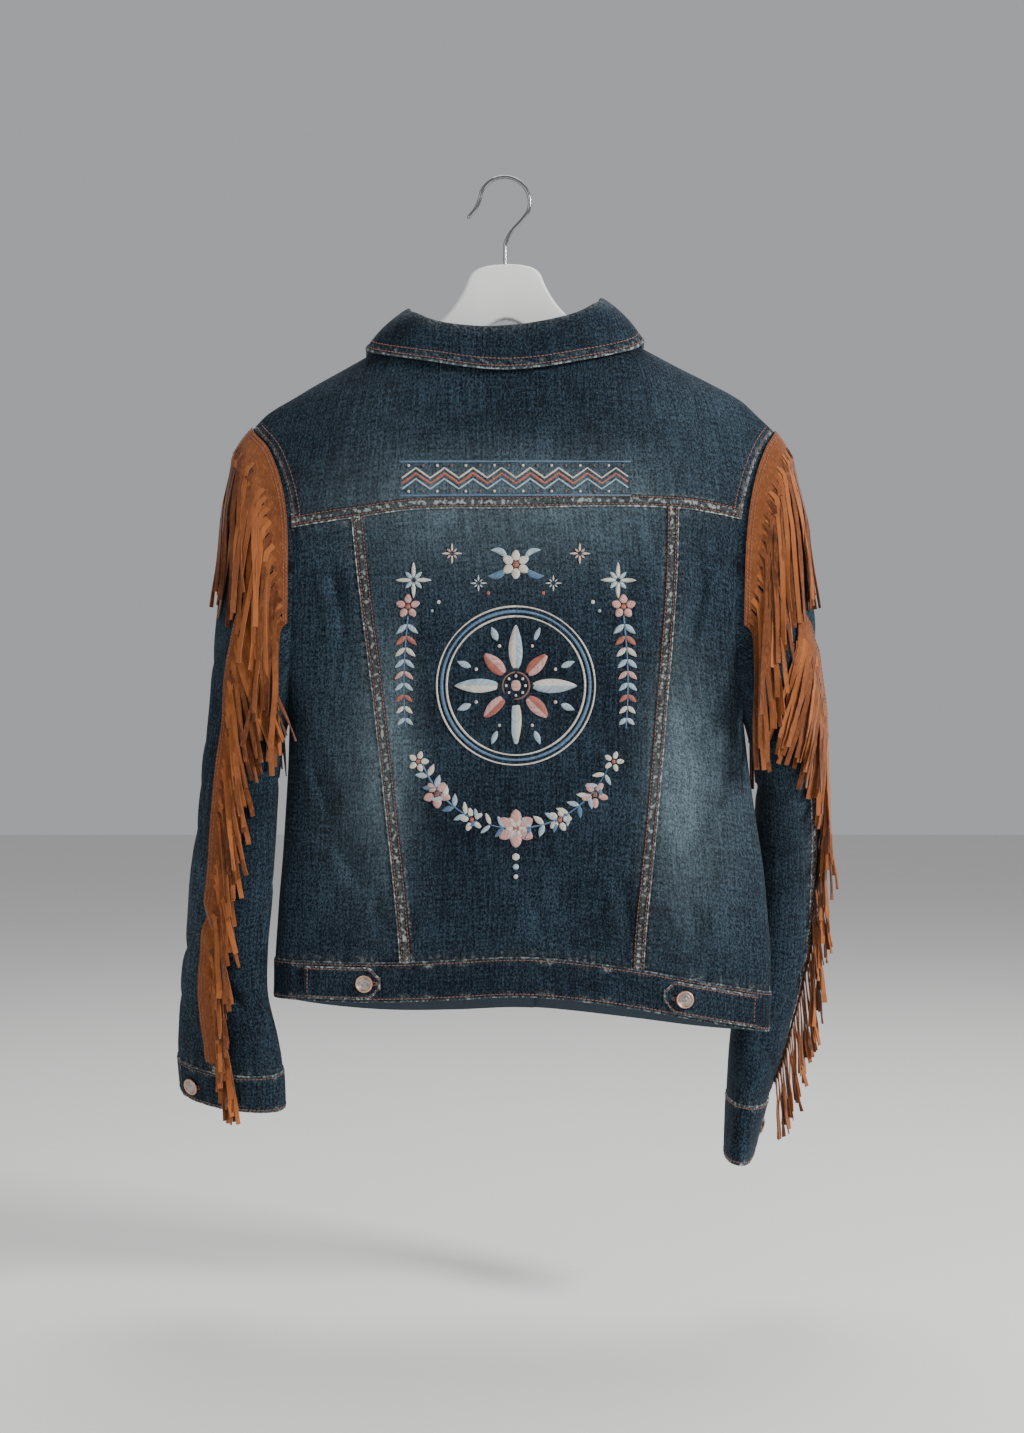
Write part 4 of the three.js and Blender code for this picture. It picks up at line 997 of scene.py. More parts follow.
def yoke_sheet():
    left, neck = np.linspace(-232, -NECK_HALF, 48), np.linspace(-86, 86, 62)
    xs = np.concatenate([left, neck, np.linspace(NECK_HALF, 249, 54)])
    angles = angle_at(xs, top_edge(xs, False))
    angles[0], angles[-1] = -SIDE + SIDE_STOP, SIDE - SIDE_STOP
    plain = 58
    rows = np.concatenate([np.linspace(0, 1, plain) ** 1.5, np.ones(len(SEWN_EDGE) - 1)])
    rise = np.concatenate([np.full(plain, SEWN_EDGE[-1]), SEWN_EDGE[-2::-1]])
    s, t = grid_of(np.arange(len(xs)), rows)
    angle = np.broadcast_to(angles[:, None], s.shape)
    top = np.broadcast_to(top_edge(xs, False)[:, None], s.shape)
    z = mix(top, -320.0, t)
    for _ in range(6):
        z = mix(top, yoke_seam(body_x(angle, z)) + rise, t)
    sheet = Sheet(body_at(angle, z), outward)
    sheet.felled("foot", seed=0.4)
    near_armhole = np.minimum(sheet.left, sheet.right)
    sheet.rub += 0.5 * bell(near_armhole, 3.0)
    return sheet.finish()


def back_centre_sheet():
    left, right = seam_side("left"), seam_side("right")
    points = body_panel(
        lambda s, z: mix(left(z), right(z), s),
        lambda x: yoke_seam(x) + SEAM_LAP,
        lambda angle: hem(angle) - HEM_TUCK,
        stations(260, True, True),
        spread(190, 0.1),
    )
    sheet = Sheet(points, outward)
    sheet.felled("left", seed=1.2)
    sheet.felled("right", seed=2.9)
    sheet.under("top", seed=0.4)
    sheet.under("foot", seed=5.0)
    return sheet.finish()


def back_side_sheet(side):
    way = -1 if side == "left" else 1
    seam = seam_side(side)
    points = body_panel(
        lambda s, z: mix(way * (SIDE - SIDE_STOP), seam(z) - way * LAP_ANGLE, s),
        lambda x: yoke_seam(x) + SEAM_LAP,
        lambda angle: hem(angle) - HEM_TUCK,
        stations(90, False, False, 2.6),
        spread(190, 0.1),
    )
    sheet = Sheet(points, outward)
    sheet.under("right", seed=1.2 if side == "left" else 2.9)
    sheet.under("top", seed=0.4)
    sheet.under("foot", seed=5.0)
    return sheet.finish()


def front_angles(side):
    """Angles of a front's columns, which are closer together at the neck and at the overlap."""
    way = 1 if side == "right" else -1
    xs = way * np.concatenate([np.linspace(216, 92, 36), np.linspace(NECK_HALF, 44, 22)])
    turned = PI - angle_at(xs, top_edge(xs, True))
    angles = turned if side == "right" else turned - 2 * PI
    last = way * (PI + FRONT_OVERLAP / FRONT_ARC)
    return np.concatenate([angles, np.linspace(angles[-1], last, 18)[1:]])


def front_sheet(side):
    way = 1 if side == "right" else -1
    fixed = front_angles(side)
    seam = way * (SIDE + SIDE_STOP)
    beside_seam = 7
    angles = np.concatenate([mix(seam, fixed[0], np.arange(beside_seam) / beside_seam), fixed])

    def place(column, z):
        return angles[column.astype(int)]

    points = body_panel(
        place,
        lambda x: top_edge(x, True),
        lambda angle: hem(angle) - HEM_TUCK,
        np.arange(len(angles)),
        spread(190) ** 1.3,
        front_lift if side == "right" else None,
    )
    sheet = Sheet(points, outward)
    sheet.under("foot", seed=3.1)
    return sheet.finish()


def sleeve_sheet(side, start, end, shares):
    """A sleeve's panel between two places round it; its top edge lies a little inside the armhole."""
    a, r = grid_of(mix(start, end, shares), CUFF_ROW * spread(200, 0.1))
    points = sleeve_at(side, a, r)
    points[:, 0, 0] += 1.4 if side == "left" else -1.4
    return Sheet(points, lambda p: p - sleeve_section(side, CUFF_ROW / 2)[0])


def sleeve_sheets(side):
    top = sleeve_sheet(side, INNER_SEAM - 360, ELBOW_SEAM, stations(290, False, True, 4.4))
    under = sleeve_sheet(side, ELBOW_SEAM - 1.2, INNER_SEAM + 0.4, stations(90, False, False, 3.6))
    top.felled("right", seed=1.9, width=11)
    under.under("left", seed=1.9)
    for sheet in (top, under):
        sheet.under("foot", seed=0.8)
        sheet.rub *= smooth((sheet.top - 8) / 10)
    return top.finish(), under.finish()


# How far the waistband stands off the body, and the right front's end of it off the left one's
BAND_RISE = 0.6
BAND_OVERLAY = 3.8


def band_at(angle, share, out):
    """A place on the waistband: round the body, down the band from 0 to 1, and out from it."""
    level = hem(angle) - 0.4 - share * BAND_HEIGHT
    lift = np.where(angle > 0, front_lift(angle) * BAND_OVERLAY / OVERLAY, 0)
    return body_out(angle, level, out + lift + BAND_RISE)


def waistband_sheet():
    end = PI + FRONT_OVERLAP / FRONT_ARC
    s, t = grid_of(np.linspace(-end, end, 420), np.linspace(0, 1, 27))
    sheet = Sheet(band_at(s, t, 0.0), outward)
    run = sheet.u
    wave = 0.35 * np.sin(run / 5.1 + 1.4 * np.sin(run / 31)) + 0.25 * np.sin(run / 2.9 + 2)
    sheet.rise += wave * (bell(sheet.top - 4, 5) + bell(sheet.foot - 4, 5))
    sheet.rise += 0.5 * np.sin(PI * t) ** 0.5
    worn = smooth(0.4 + 1.6 * wave) * (0.6 + 0.4 * np.sin(run / 13.0 + np.sin(run / 29.0)))
    for name in ("top", "foot"):
        sheet.rub += 0.8 * bell(sheet.side(name), 1.1) * (0.75 + 0.25 * np.sin(run / 4.0))
        sheet.rub += 0.4 * worn * bell(sheet.side(name) - 4.2, 2.6)
    return sheet.finish()


# A cuff's first and last row of its sleeve, and the degrees where its lap begins and ends
CUFF_ROWS = (10.96, 12.0)
CUFF_LAP = (34.0, 96.0)


def cuff_sheet(side):
    top, foot = CUFF_ROWS
    a, r = grid_of(np.arange(0, 360, 2.5), np.linspace(top, foot, 16))
    lap = smooth((a - CUFF_LAP[0] + 1) / 2.5) * smooth((CUFF_LAP[1] + 1 - a) / 2.5)
    sheet = Sheet(sleeve_at(side, a, r), lambda p: p - sleeve_section(side, 11.5)[0], ring=True)
    sheet.rise = 0.8 + 1.4 * lap + 0.4 * np.sin(PI * (r - top) / (foot - top)) ** 0.5
    seed = 0.7 if side == "left" else 2.1
    wave = np.sin(sheet.u / 2.6 + seed) + 0.6 * np.sin(sheet.u / 4.3)
    sheet.rise += 0.16 * wave
    for name in ("top", "foot"):
        sheet.rub += 0.75 * bell(sheet.side(name), 1.2) + 0.22 * smooth(wave) * bell(sheet.side(name) - 4, 3)
    edge = np.minimum(np.abs(a - CUFF_LAP[0]), np.abs(a - CUFF_LAP[1])) * 1.2
    sheet.rub += 0.7 * bell(edge, 2.0)
    return sheet.finish()


# Each tab in x: where it is sewn down, its free end, and its button
TABS = {"left": (-184, -114, -128), "right": (231, 145, 164)}


def tab_sheet(side):
    sewn, free, _ = TABS[side]
    s, t = grid_of(np.linspace(0, 1, 46), np.linspace(0, 1, 14))
    end = np.abs(free - sewn)
    narrow = 1 - 0.62 * smooth((s * end - (end - 13)) / 13) ** 1.4
    share = 0.525 + (t - 0.5) * 0.81 * narrow
    angle = angle_at(mix(sewn, free, s), np.full(s.shape, BAND_Z))
    sheet = Sheet(band_at(angle, share, np.full(s.shape, 2.6)), outward)
    edge = np.minimum(np.minimum(sheet.top, sheet.foot), sheet.right)
    sheet.rise = 0.7 * smooth(edge / 2.0) + 0.14 * np.sin(sheet.u / 1.9)
    sheet.rub += 0.9 * bell(edge, 1.5)
    return sheet.finish()


def placket_sheet():
    free = PI + (FRONT_OVERLAP - 0.3) / FRONT_ARC
    points = body_panel(
        lambda s, z: free - PLACKET_WIDTH / FRONT_ARC * (1 - s),
        lambda x: top_edge(x, True) - 3,
        lambda angle: hem(angle) + 1,
        spread(14),
        spread(180),
        lambda angle: front_lift(angle) + 1.7,
    )
    sheet = Sheet(points, outward)
    edge = np.minimum(sheet.left, sheet.right)
    sheet.rise += 0.25 * np.sin(sheet.v * 2 * PI / PUCKER_LENGTH) * bell(edge - 5, 4)
    sheet.rub += 0.8 * bell(edge, 1.6)
    return sheet.finish()


def centripetal(points, t):
    """A point on the centripetal spline through six points, for a share t of the whole."""
    last = len(points) - 1
    place = last * t
    i = min(int(place), last - 1)
    w = place - i
    p1, p2 = points[i], points[i + 1]
    p0 = points[i - 1] if i > 0 else 2 * points[0] - points[1]
    p3 = points[i + 2] if i + 2 <= last else 2 * points[last] - points[last - 1]
    d0, d1, d2 = (max(np.linalg.norm(b - a) ** 0.5, 1e-2) for a, b in ((p0, p1), (p1, p2), (p2, p3)))
    m1 = ((p1 - p0) / d0 - (p2 - p0) / (d0 + d1) + (p2 - p1) / d1) * d1
    m2 = ((p2 - p1) / d1 - (p3 - p1) / (d1 + d2) + (p3 - p2) / d2) * d1
    return p1 + m1 * w + (-3 * p1 + 3 * p2 - 2 * m1 - m2) * w**2 + (2 * p1 - 2 * p2 + m1 + m2) * w**3


def collar_curve(around):
    s, c = math.sin(math.radians(around)), math.cos(math.radians(around))
    is_front = c < 0
    to_front = abs(c)
    x = NECK_HALF * s
    lean = TILT * x
    seam_z = NECK_POINT_Z + lean - (FRONT_NECK_DROP if is_front else BACK_NECK_DROP) * to_front

    def sheet_angle(at_x, at_z):
        angle = float(angle_at(at_x, at_z))
        return PI - angle if is_front else angle

    seam = body_out(sheet_angle(x, seam_z), seam_z, -1.1)
    seam[2] += 2.4 + 4 * (1 - to_front) ** 3
    aside = np.array([46 * s, -NECK_HALF * c, 0.0])
    aside /= np.linalg.norm(aside)
    height = mix(22, 19, to_front) if is_front else mix(22, 29, float(smooth(2 * to_front)))
    fold = seam + aside * 1.2 + np.array([0, 0, height + lean])
    edge_x = 126 * s + (20 * to_front * np.sign(s) if is_front else 0)
    ridge_z = float(ridge(edge_x))
    edge_z = ridge_z - 160 * to_front**1.15 if is_front else mix(ridge_z, -185, to_front**0.9)
    edge = body_out(sheet_angle(edge_x, edge_z), edge_z, 5.4 + 1.6 * abs(s))
    stand = mix(seam, fold, 0.55) - aside * 0.8
    turn_over = fold + aside * 3.4 - np.array([0, 0, 1.2])
    fall = mix(turn_over, edge, 0.5) + aside * 1.5 + np.array([0, 0, 2 * abs(s)])
    return [seam, stand, fold, turn_over, fall, edge]


# Millimetres from the collar's seam up to where it turns over
COLLAR_TURN = 30


def collar_sheet():
    around = np.linspace(-160, 160, 130)
    shares = np.linspace(0, 1, 46)
    points = np.array([[centripetal(curve, t) for t in shares] for curve in map(collar_curve, around)])
    sheet = Sheet(points, lambda p: np.array([0.0, 0.0, 1.0]))
    sheet.rise += 0.9
    edge = np.minimum(np.minimum(sheet.left, sheet.right), sheet.foot)
    wave = np.sin(sheet.u * 2 * PI / 9.1) + 0.5 * np.sin(sheet.u / 3.1)
    sheet.rise += 0.2 * wave * bell(edge - 5, 4) + 0.3 * bell(edge - 2.6, 2.2)
    sheet.rub += 0.85 * bell(edge, 1.3) + 0.35 * smooth(wave) * bell(edge - 6, 2.6)
    sheet.rub += 0.14 * bell(sheet.v - COLLAR_TURN, 7)
    return sheet.finish()


yoke = yoke_sheet()
back_centre = back_centre_sheet()
back_sides = {side: back_side_sheet(side) for side in ("left", "right")}
fronts = {side: front_sheet(side) for side in ("left", "right")}
sleeves = {side: sleeve_sheets(side) for side in ("left", "right")}
band = waistband_sheet()
cuffs = {side: cuff_sheet(side) for side in ("left", "right")}
tabs = {side: tab_sheet(side) for side in ("left", "right")}
placket = placket_sheet()
collar = collar_sheet()

shell("yoke_cloth", "back_yoke", yoke)
shell("back_centre_cloth", "back_centre", back_centre)
for side in ("left", "right"):
    upper, lower = sleeves[side]
    top_name = f"sleeve_top_{side}"
    shell(f"back_side_{side}_cloth", f"back_side_{side}", back_sides[side])
    shell(f"front_{side}_cloth", f"front_{side}", fronts[side])
    shell(f"{top_name}_cloth", top_name, upper)
    shell(f"sleeve_under_{side}_cloth", f"sleeve_under_{side}", lower)
    shell(f"cuff_{side}_cloth", f"cuff_{side}", cuffs[side], BAND_CLOTH)
shell("waistband_cloth", "waistband", band, BAND_CLOTH, denim_band)
for side in ("left", "right"):
    shell(f"tab_{side}_cloth", f"tab_{side}", tabs[side], 2.0, denim_band)
shell("placket_cloth", "front_placket", placket, 1.3)
shell("collar_cloth", "collar", collar, 2.0)


# Sewing: rows of rust thread along the seams and hems


def round_row(sheet, side, distance):
    return [np.concatenate([values, values[:1]]) for values in sheet.inset(side, distance)]


rows = [yoke.inset("foot", d) for d in (2.4, 9.4)]
for side in ("left", "right"):
    rows += [yoke.inset(side, d, 0.08, 0.97) for d in (3.0, 8.6)]
stitches("yoke_stitching", rows, rust_thread)

rows = [back_centre.inset(side, d, 0.004) for side in ("left", "right") for d in (2.4, 9.4)]
stitches("back_seam_stitching", rows, rust_thread)
stitches("collar_stitching", [collar.inset("foot", d, 0.02, 0.98, 0.3) for d in (3.4, 9.8)], rust_thread)
rows = [band.inset(side, 3.0) for side in ("top", "foot")]
stitches("waistband_stitching", rows, rust_thread)
rows = [placket.inset(side, 3.0) for side in ("left", "right")]
rows += [fronts["left"].inset("right", d, 0.05) for d in (3.0, 26.0)]
stitches("placket_stitching", rows, rust_thread)
for side in ("left", "right"):
    upper, lower = sleeves[side]
    rows = [upper.inset("right", d, 0.03) for d in (2.2, 8.6)]
    rows += [round_row(cuffs[side], edge, 3.0) for edge in ("top", "foot")]
    stitches(f"sleeve_{side}_stitching", rows, rust_thread)
    rows = [tabs[side].inset(edge, 2.4) for edge in ("top", "foot")]
    rows.append(tabs[side].inset("left", 3.0, 0.1, 0.9))
    stitches(f"tab_{side}_stitching", rows, rust_thread)


def front_rows(side):
    """Seams sewn on the front: a line across the chest and two long ones down, as pairs of rows."""
    way = 1 if side == "right" else -1
    made = []
    for shift in (0.0, 6.5):
        x = np.linspace(76, 206, 60) * way
        z = -298.0 - 6 * np.sin(np.linspace(0, PI, 60)) - shift
        made.append(front_path(side, x, z))
        for top_x, foot_x in ((84, 66), (146, 112)):
            z = np.linspace(-306, -738, 130)
            x = way * (mix(top_x, foot_x, (-306 - z) / 432) + shift)
            made.append(front_path(side, x, z))
    return made


def front_path(side, x, z):
    angle = PI - angle_at(x, z)
    lift = front_lift(angle) if side == "right" else 0.0
    return body_out(angle, z, 0.25 + lift), body_normal(angle, z)


for side in ("left", "right"):
    stitches(f"front_{side}_stitching", front_rows(side), rust_thread)


# Buttonholes and buttons


def keyhole(name, at, along, up, length=17.0):
    """A worked buttonhole: a dense ring of short stitches round a slit with a round eye."""
    across = np.cross(along, up)
    turn = np.linspace(0, 2 * PI, 60)
    wide = 1.5 + 1.2 * smooth((np.cos(turn) - 0.4) / 0.5)
    long = 0.5 * length
    path = [at + along * (long * math.cos(a)) + across * (w * math.sin(a)) for a, w in zip(turn, wide)]
    normals = np.repeat(up[None], len(path), axis=0)
    stitches(name, [(np.array(path), normals)], rust_thread, length=0.95, gap=0.06, wide=0.85)


def level_way(up, hint):
    """The direction nearest to a hint that lies square to the way up."""
    along = hint - up * np.dot(hint, up)
    return along / np.linalg.norm(along)


ACROSS = np.array([1.0, 0.0, 0.0])
DOWN = np.array([0.0, 0.0, -1.0])

# Where a cuff's button sits: row of the sleeve, and degrees round it
CUFF_MIDDLE = 11.55
CUFF_BUTTON = 58.0

# Profile of a jeans button: radius and height
BUTTON_PROFILE = [
    (0.0, 0.0), (4.6, 0.0), (4.9, 1.0), (7.4, 1.3), (8.0, 1.9), (8.15, 2.7), (7.8, 3.45), (7.1, 3.75),
    (6.5, 3.55), (6.25, 3.2), (6.0, 3.15), (5.75, 3.35), (5.5, 3.15), (4.6, 3.3), (4.35, 3.5), (4.1, 3.3),
    (3.0, 3.5), (1.6, 3.65), (1.3, 3.9), (1.0, 3.75), (0.0, 3.85),
]


def turned_button(node, at, up, sides=56):
    a = level_way(up, ACROSS if abs(up[0]) < 0.8 else DOWN)
    b = np.cross(up, a)
    angles = np.linspace(0, 2 * PI, sides, endpoint=False)
    points = [
        at + up * h + (a * math.cos(t) + b * math.sin(t)) * max(r, 0.001)
        for r, h in BUTTON_PROFILE
        for t in angles
    ]
    radius = np.repeat([r for r, _ in BUTTON_PROFILE], sides) / 8.0
    faces = tube_faces(0, len(BUTTON_PROFILE), sides, capped=False)
    obj = mesh_object(f"{node}_turned", points, faces, attributes={"radius": radius}, sharp=math.radians(38))
    dressed(obj, copper)
    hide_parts(node)


for side in ("left", "right"):
    sewn, free, button_x = TABS[side]
    angle = float(angle_at(button_x, BAND_Z))
    up = body_normal(angle, BAND_Z)
    way = np.sign(free - sewn)
    turned_button(f"button_tab_{side}", band_at(angle, 0.52, 3.7), up)
    eye = band_at(float(angle_at(button_x + way * 3, BAND_Z)), 0.52, 3.75)
    keyhole(f"tab_{side}_buttonhole", eye, level_way(up, -ACROSS * way), up)
    across = sleeve_at(side, [57.0, 59.0], CUFF_MIDDLE)
    down = sleeve_at(side, CUFF_BUTTON, [11.45, 11.65])
    up = np.cross(across[1] - across[0], down[1] - down[0])
    up /= np.linalg.norm(up)
    on_cuff = sleeve_at(side, CUFF_BUTTON, CUFF_MIDDLE)
    if np.dot(up, on_cuff - sleeve_section(side, CUFF_MIDDLE)[0]) < 0:
        up = -up
    seat = on_cuff + up * 3.2
    turned_button(f"button_cuff_{side}", seat, up)
    keyhole(f"cuff_{side}_buttonhole", seat - up * 0.5, level_way(up, across[1] - across[0]), up)

for number, z in enumerate((-268, -357, -446, -535, -624, -713), start=1):
    up = body_normal(PI, z)
    seat = body_out(PI, z, front_lift(PI) + 2.0)
    turned_button(f"button_front_{number}", seat, up)
    keyhole(f"front_buttonhole_{number}", seat, ACROSS, up, 19.0)
up = body_normal(PI, -760.0)
seat = band_at(PI, 0.5, 1.3)
turned_button("button_front_band", seat, up)
keyhole("band_buttonhole", seat, ACROSS, up, 19.0)


# Fringe: a suede tape along each edge, with cut strands that hang from it

# How near the cloth must be to push a strand off it
CLEAR_REACH = 13.0


class Clear:
    """Keeps points of a strand off the cloth behind it."""

    def __init__(self, points, normals):
        self.points = points
        self.normals = normals
        self.tree = KDTree(len(self.points))
        for i, p in enumerate(self.points):
            self.tree.insert(p, i)
        self.tree.balance()

    def push(self, point, gap):
        _, i, away = self.tree.find(point)
        above = np.dot(point - self.points[i], self.normals[i])
        if above < gap and away < CLEAR_REACH:
            point = point + self.normals[i] * (gap - above)
        return point, self.normals[i]


def clear_of(side):
    trunk = [fronts[side], back_sides[side], yoke]
    every = 3
    return [
        Clear(
            np.concatenate([s.points[::every, ::every].reshape(-1, 3) for s in sheets]),
            np.concatenate([s.normals[::every, ::every].reshape(-1, 3) for s in sheets]),
        )
        for sheets in ([*sleeves[side], cuffs[side]], trunk)
    ]


# The shoulder's tape: degrees round the armhole from its front end to its back end
TAPE_START = -112.0
TAPE_END = 109.0


def shoulder_path(s, share, side):
    rounds = mix(TAPE_START, TAPE_END, s)
    low = 1 - np.cos(np.radians(rounds))
    width = (1.0 - 0.46 * np.abs(np.sin(np.radians(rounds)))) * (0.35 + 0.65 * smooth((1 - s) * 9))
    return rounds, 0.06 + 0.16 * low + share * width


# The sleeves' tapes: share of the tape, degrees round the sleeve, row of the sleeve
SLEEVE_TAPE = {
    "left": [
        (0, 79, 2), (0.1, 62, 3), (0.2, 57, 4), (0.3, 59, 4.8),
        (0.5, 66, 6.6), (0.75, 72, 8.8), (1, 77, 10.6),
    ],
    "right": [
        (0, 70, 2.5), (0.1, 48, 3.5), (0.2, 33, 4.3), (0.32, 28, 5.2),
        (0.5, 38, 6.8), (0.75, 58, 8.9), (1, 70, 10.6),
    ],
}
tape_line = {side: lines_of(table, ("s", "round", "row")) for side, table in SLEEVE_TAPE.items()}


def sleeve_path(s, share, side):
    rounds = tape_line[side]["round"](s) + share * mix(9.0, 24.0, s)
    return rounds, tape_line[side]["row"](s) + share * 0.35 * np.maximum(0, 1 - s / 0.3)


# How the strands lean as they hang, along each sleeve's tape
STRAND_LEAN = [(0, 0.3, -0.3), (0.1, 0.26, -0.24), (0.3, 0.17, -0.06), (0.5, 0.12, 0.05), (1, 0.1, 0.08)]
strand_lean = lines_of(STRAND_LEAN, ("s", "left", "right"))


def shoulder_hang(s, side):
    """A strand's length, and how much it leans aside."""
    way = -1 if side == "left" else 1
    return 140.0, way * 0.04 * abs(math.sin(math.radians(mix(TAPE_START, TAPE_END, s))))


def sleeve_hang(s, side):
    return mix(108.0, 58.0, s), float(strand_lean[side](s))


STRAND_STEPS = 15
STRAND_THICK = 1.0
STRAND_TAPER = 0.12
STRAND_SWING = 0.06


def strand(root, leave, lean, length, gap, wide, clear, chance):
    """One cut strand: its four edges' points, from its root in the tape down to its free end."""
    hang = np.array([lean, 0.0, -1.0])
    hang /= np.linalg.norm(hang)
    swing = chance.normal(0, STRAND_SWING, 2)
    curl = 0.11 * abs(chance.uniform(-1, 1))
    turns = chance.uniform(0.7, 1.6) * PI
    phase = chance.uniform(0, 2 * PI)
    twist = chance.uniform(-1, 1) * 1.1
    path, facing = [root], []
    step = length / STRAND_STEPS
    point = root
    for i in range(STRAND_STEPS):
        t = (i + 0.5) / STRAND_STEPS
        way = mix(leave, hang, float(smooth(t * 8.0)))
        way = way + np.array([swing[0], swing[1], 0]) * min(1, 2 * t)
        sway = np.array([math.cos(turns * t * 2 + phase), 0.4 * math.sin(turns * t * 2 + phase), 0])
        way = way + sway * curl * t
        way /= np.linalg.norm(way)
        point = point + way * step
        for surface in clear:
            point, normal = surface.push(point, gap * min(1.0, 0.12 + t * 2.0))
            if surface is clear[0]:
                facing.append(normal)
        path.append(point)
    path = np.array(path)
    facing = np.array([facing[0], *facing])
    points = []
    for i, p in enumerate(path):
        t = i / STRAND_STEPS
        along = path[min(i + 1, STRAND_STEPS)] - path[max(i - 1, 0)]
        along /= np.linalg.norm(along)
        out = facing[i] - along * np.dot(facing[i], along)
        out /= max(np.linalg.norm(out), 1e-6)
        side = np.cross(along, out)
        turn = twist * t * t + 0.25 * math.sin(turns * t * 2 + phase) * t
        a = side * math.cos(turn) + out * math.sin(turn)
        b = out * math.cos(turn) - side * math.sin(turn)
        half, thick = a * 0.5 * wide * (1 - STRAND_TAPER * t), b * 0.5 * STRAND_THICK
        points += [p - half - thick, p + half - thick, p + half + thick, p - half + thick]
    return points


TAPE_THICK = 1.4
STRAND_WIDE = 5.1
LAYER_GAP = 3.2

# Share of the tape's width at which each of the two layers of strands is rooted
LAYER_ROOTS = (0.97, 0.82)


def tape_sheet(side, path, off):
    s, share = grid_of(np.linspace(0, 1, 150), np.linspace(0, 1, 9))
    sheet = Sheet(sleeve_at(side, *path(s, share, side)), lambda p: p - sleeve_section(side, 4.0)[0])
    sheet.rise = sheet.rise + off + 1.5
    return sheet.finish()


def root_of(tape, s, share):
    """Where a strand leaves its tape, the tape's normal there, and the way across the tape."""
    columns, down = tape.points.shape[:2]
    i, at = s * (columns - 1), share * (down - 1)
    low, row = int(i), int(at)
    line = mix(tape.points[low], tape.points[min(low + 1, columns - 1)], i - low)
    normal = tape.normals[low, row]
    across = line[-1] - line[0]
    root = mix(line[row], line[min(row + 1, down - 1)], at - row) - normal * 0.5
    return root, normal, across / np.linalg.norm(across)


def fringe(name, side, path, off, count, hang, gap):
    """A tape with its strands, as one piece of suede; even strands lie under the odd ones."""
    tape = tape_sheet(side, path, off)
    clear = clear_of(side)
    chance = np.random.default_rng(len(name) + (3 if side == "left" else 11))
    inner = tape.points - tape.normals * TAPE_THICK
    points = [*tape.points.reshape(-1, 3), *inner.reshape(-1, 3)]
    faces = wall_faces(*tape.points.shape[:2]).tolist()
    shade = [0.35] * len(points)
    for k in range(count):
        s = (k + 0.5 + chance.uniform(-0.25, 0.25)) / count
        layer = k % 2
        root, normal, across = root_of(tape, s, LAYER_ROOTS[layer])
        leave = across + normal * (0.05 + 0.14 * layer) + DOWN * 0.3
        length, lean = hang(s, side)
        length *= 1 + chance.normal(0, 0.055)
        lean += chance.normal(0, 0.025)
        wide = STRAND_WIDE + chance.uniform(-0.9, 0.7)
        faces += tube_faces(len(points), STRAND_STEPS + 1, 4)
        made = strand(root, leave, lean, length, gap + LAYER_GAP * layer, wide, clear, chance)
        points += made
        shade += [chance.uniform(0, 1)] * len(made)
    node = f"{name}_{side}"
    obj = mesh_object(f"{node}_suede", points, faces, attributes={"strand": shade}, sharp=math.radians(40))
    dressed(obj, suede)
    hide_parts(node)
    run = float(lengths(tape.points, 0)[-1].max()) * MM
    deep = (float(lengths(tape.points, 1)[:, -1].max()) + hang(0.3, side)[0]) * MM
    # The strands lie in two layers, so what they measure is kept within the flat rectangle
    area = min(sum(polygon.area for polygon in obj.data.polygons) / 2, run * deep)
    edges = [tape.inset("top", distance, lift=0.2) for distance in (2.0, 5.0)]
    stitches(f"{node}_tape_stitching", edges, rust_thread)


for side in ("left", "right"):
    fringe("fringe_shoulder", side, shoulder_path, 0.75, 84, shoulder_hang, 2.6)
    fringe("fringe_sleeve", side, sleeve_path, 0.9, 116, sleeve_hang, 1.4)


# Hanger: a white painted wooden bow with a steel hook

# The bow's upper edge beside the hook in x and z, its end, thickness and rounding
BOW_TOP = [(0, -80), (18, -81.5), (31, -87.5), (38, -102), (47, -117), (60, -131)]
BOW_END = 212.0
BOW_THICK = 12.0
BOW_ROUNDING = 3.2


def curve_between(p0, p1, p2, p3, shares):
    """Points of a smooth curve from the second of four points towards the third."""
    a = -0.5 * p0 + 1.5 * p1 - 1.5 * p2 + 0.5 * p3
    b = p0 - 2.5 * p1 + 2 * p2 - 0.5 * p3
    return [a * t**3 + b * t**2 + 0.5 * (p2 - p0) * t + p1 for t in shares]


def bow_outline():
    top = [*BOW_TOP, *((x, float(ridge_line(x)) - 5) for x in range(84, 204, 19))]
    end_z = float(ridge_line(BOW_END - 6)) - 11
    end = [(BOW_END - 4, end_z - 2), (BOW_END, end_z - 10), (BOW_END - 6, end_z - 18)]
    under = [(190, -223), (150, -202), (110, -182), (60, -157), (25, -142)]
    right = [*top, *end, *under]
    ring = np.array([*right, (0, -131), *((-x, z) for x, z in right[:0:-1])], float)
    count = len(ring)
    fine = []
    for i in range(count):
        fine += curve_between(*(ring[(i + k) % count] for k in (-1, 0, 1, 2)), (0, 0.25, 0.5, 0.75))
    return np.array(fine)


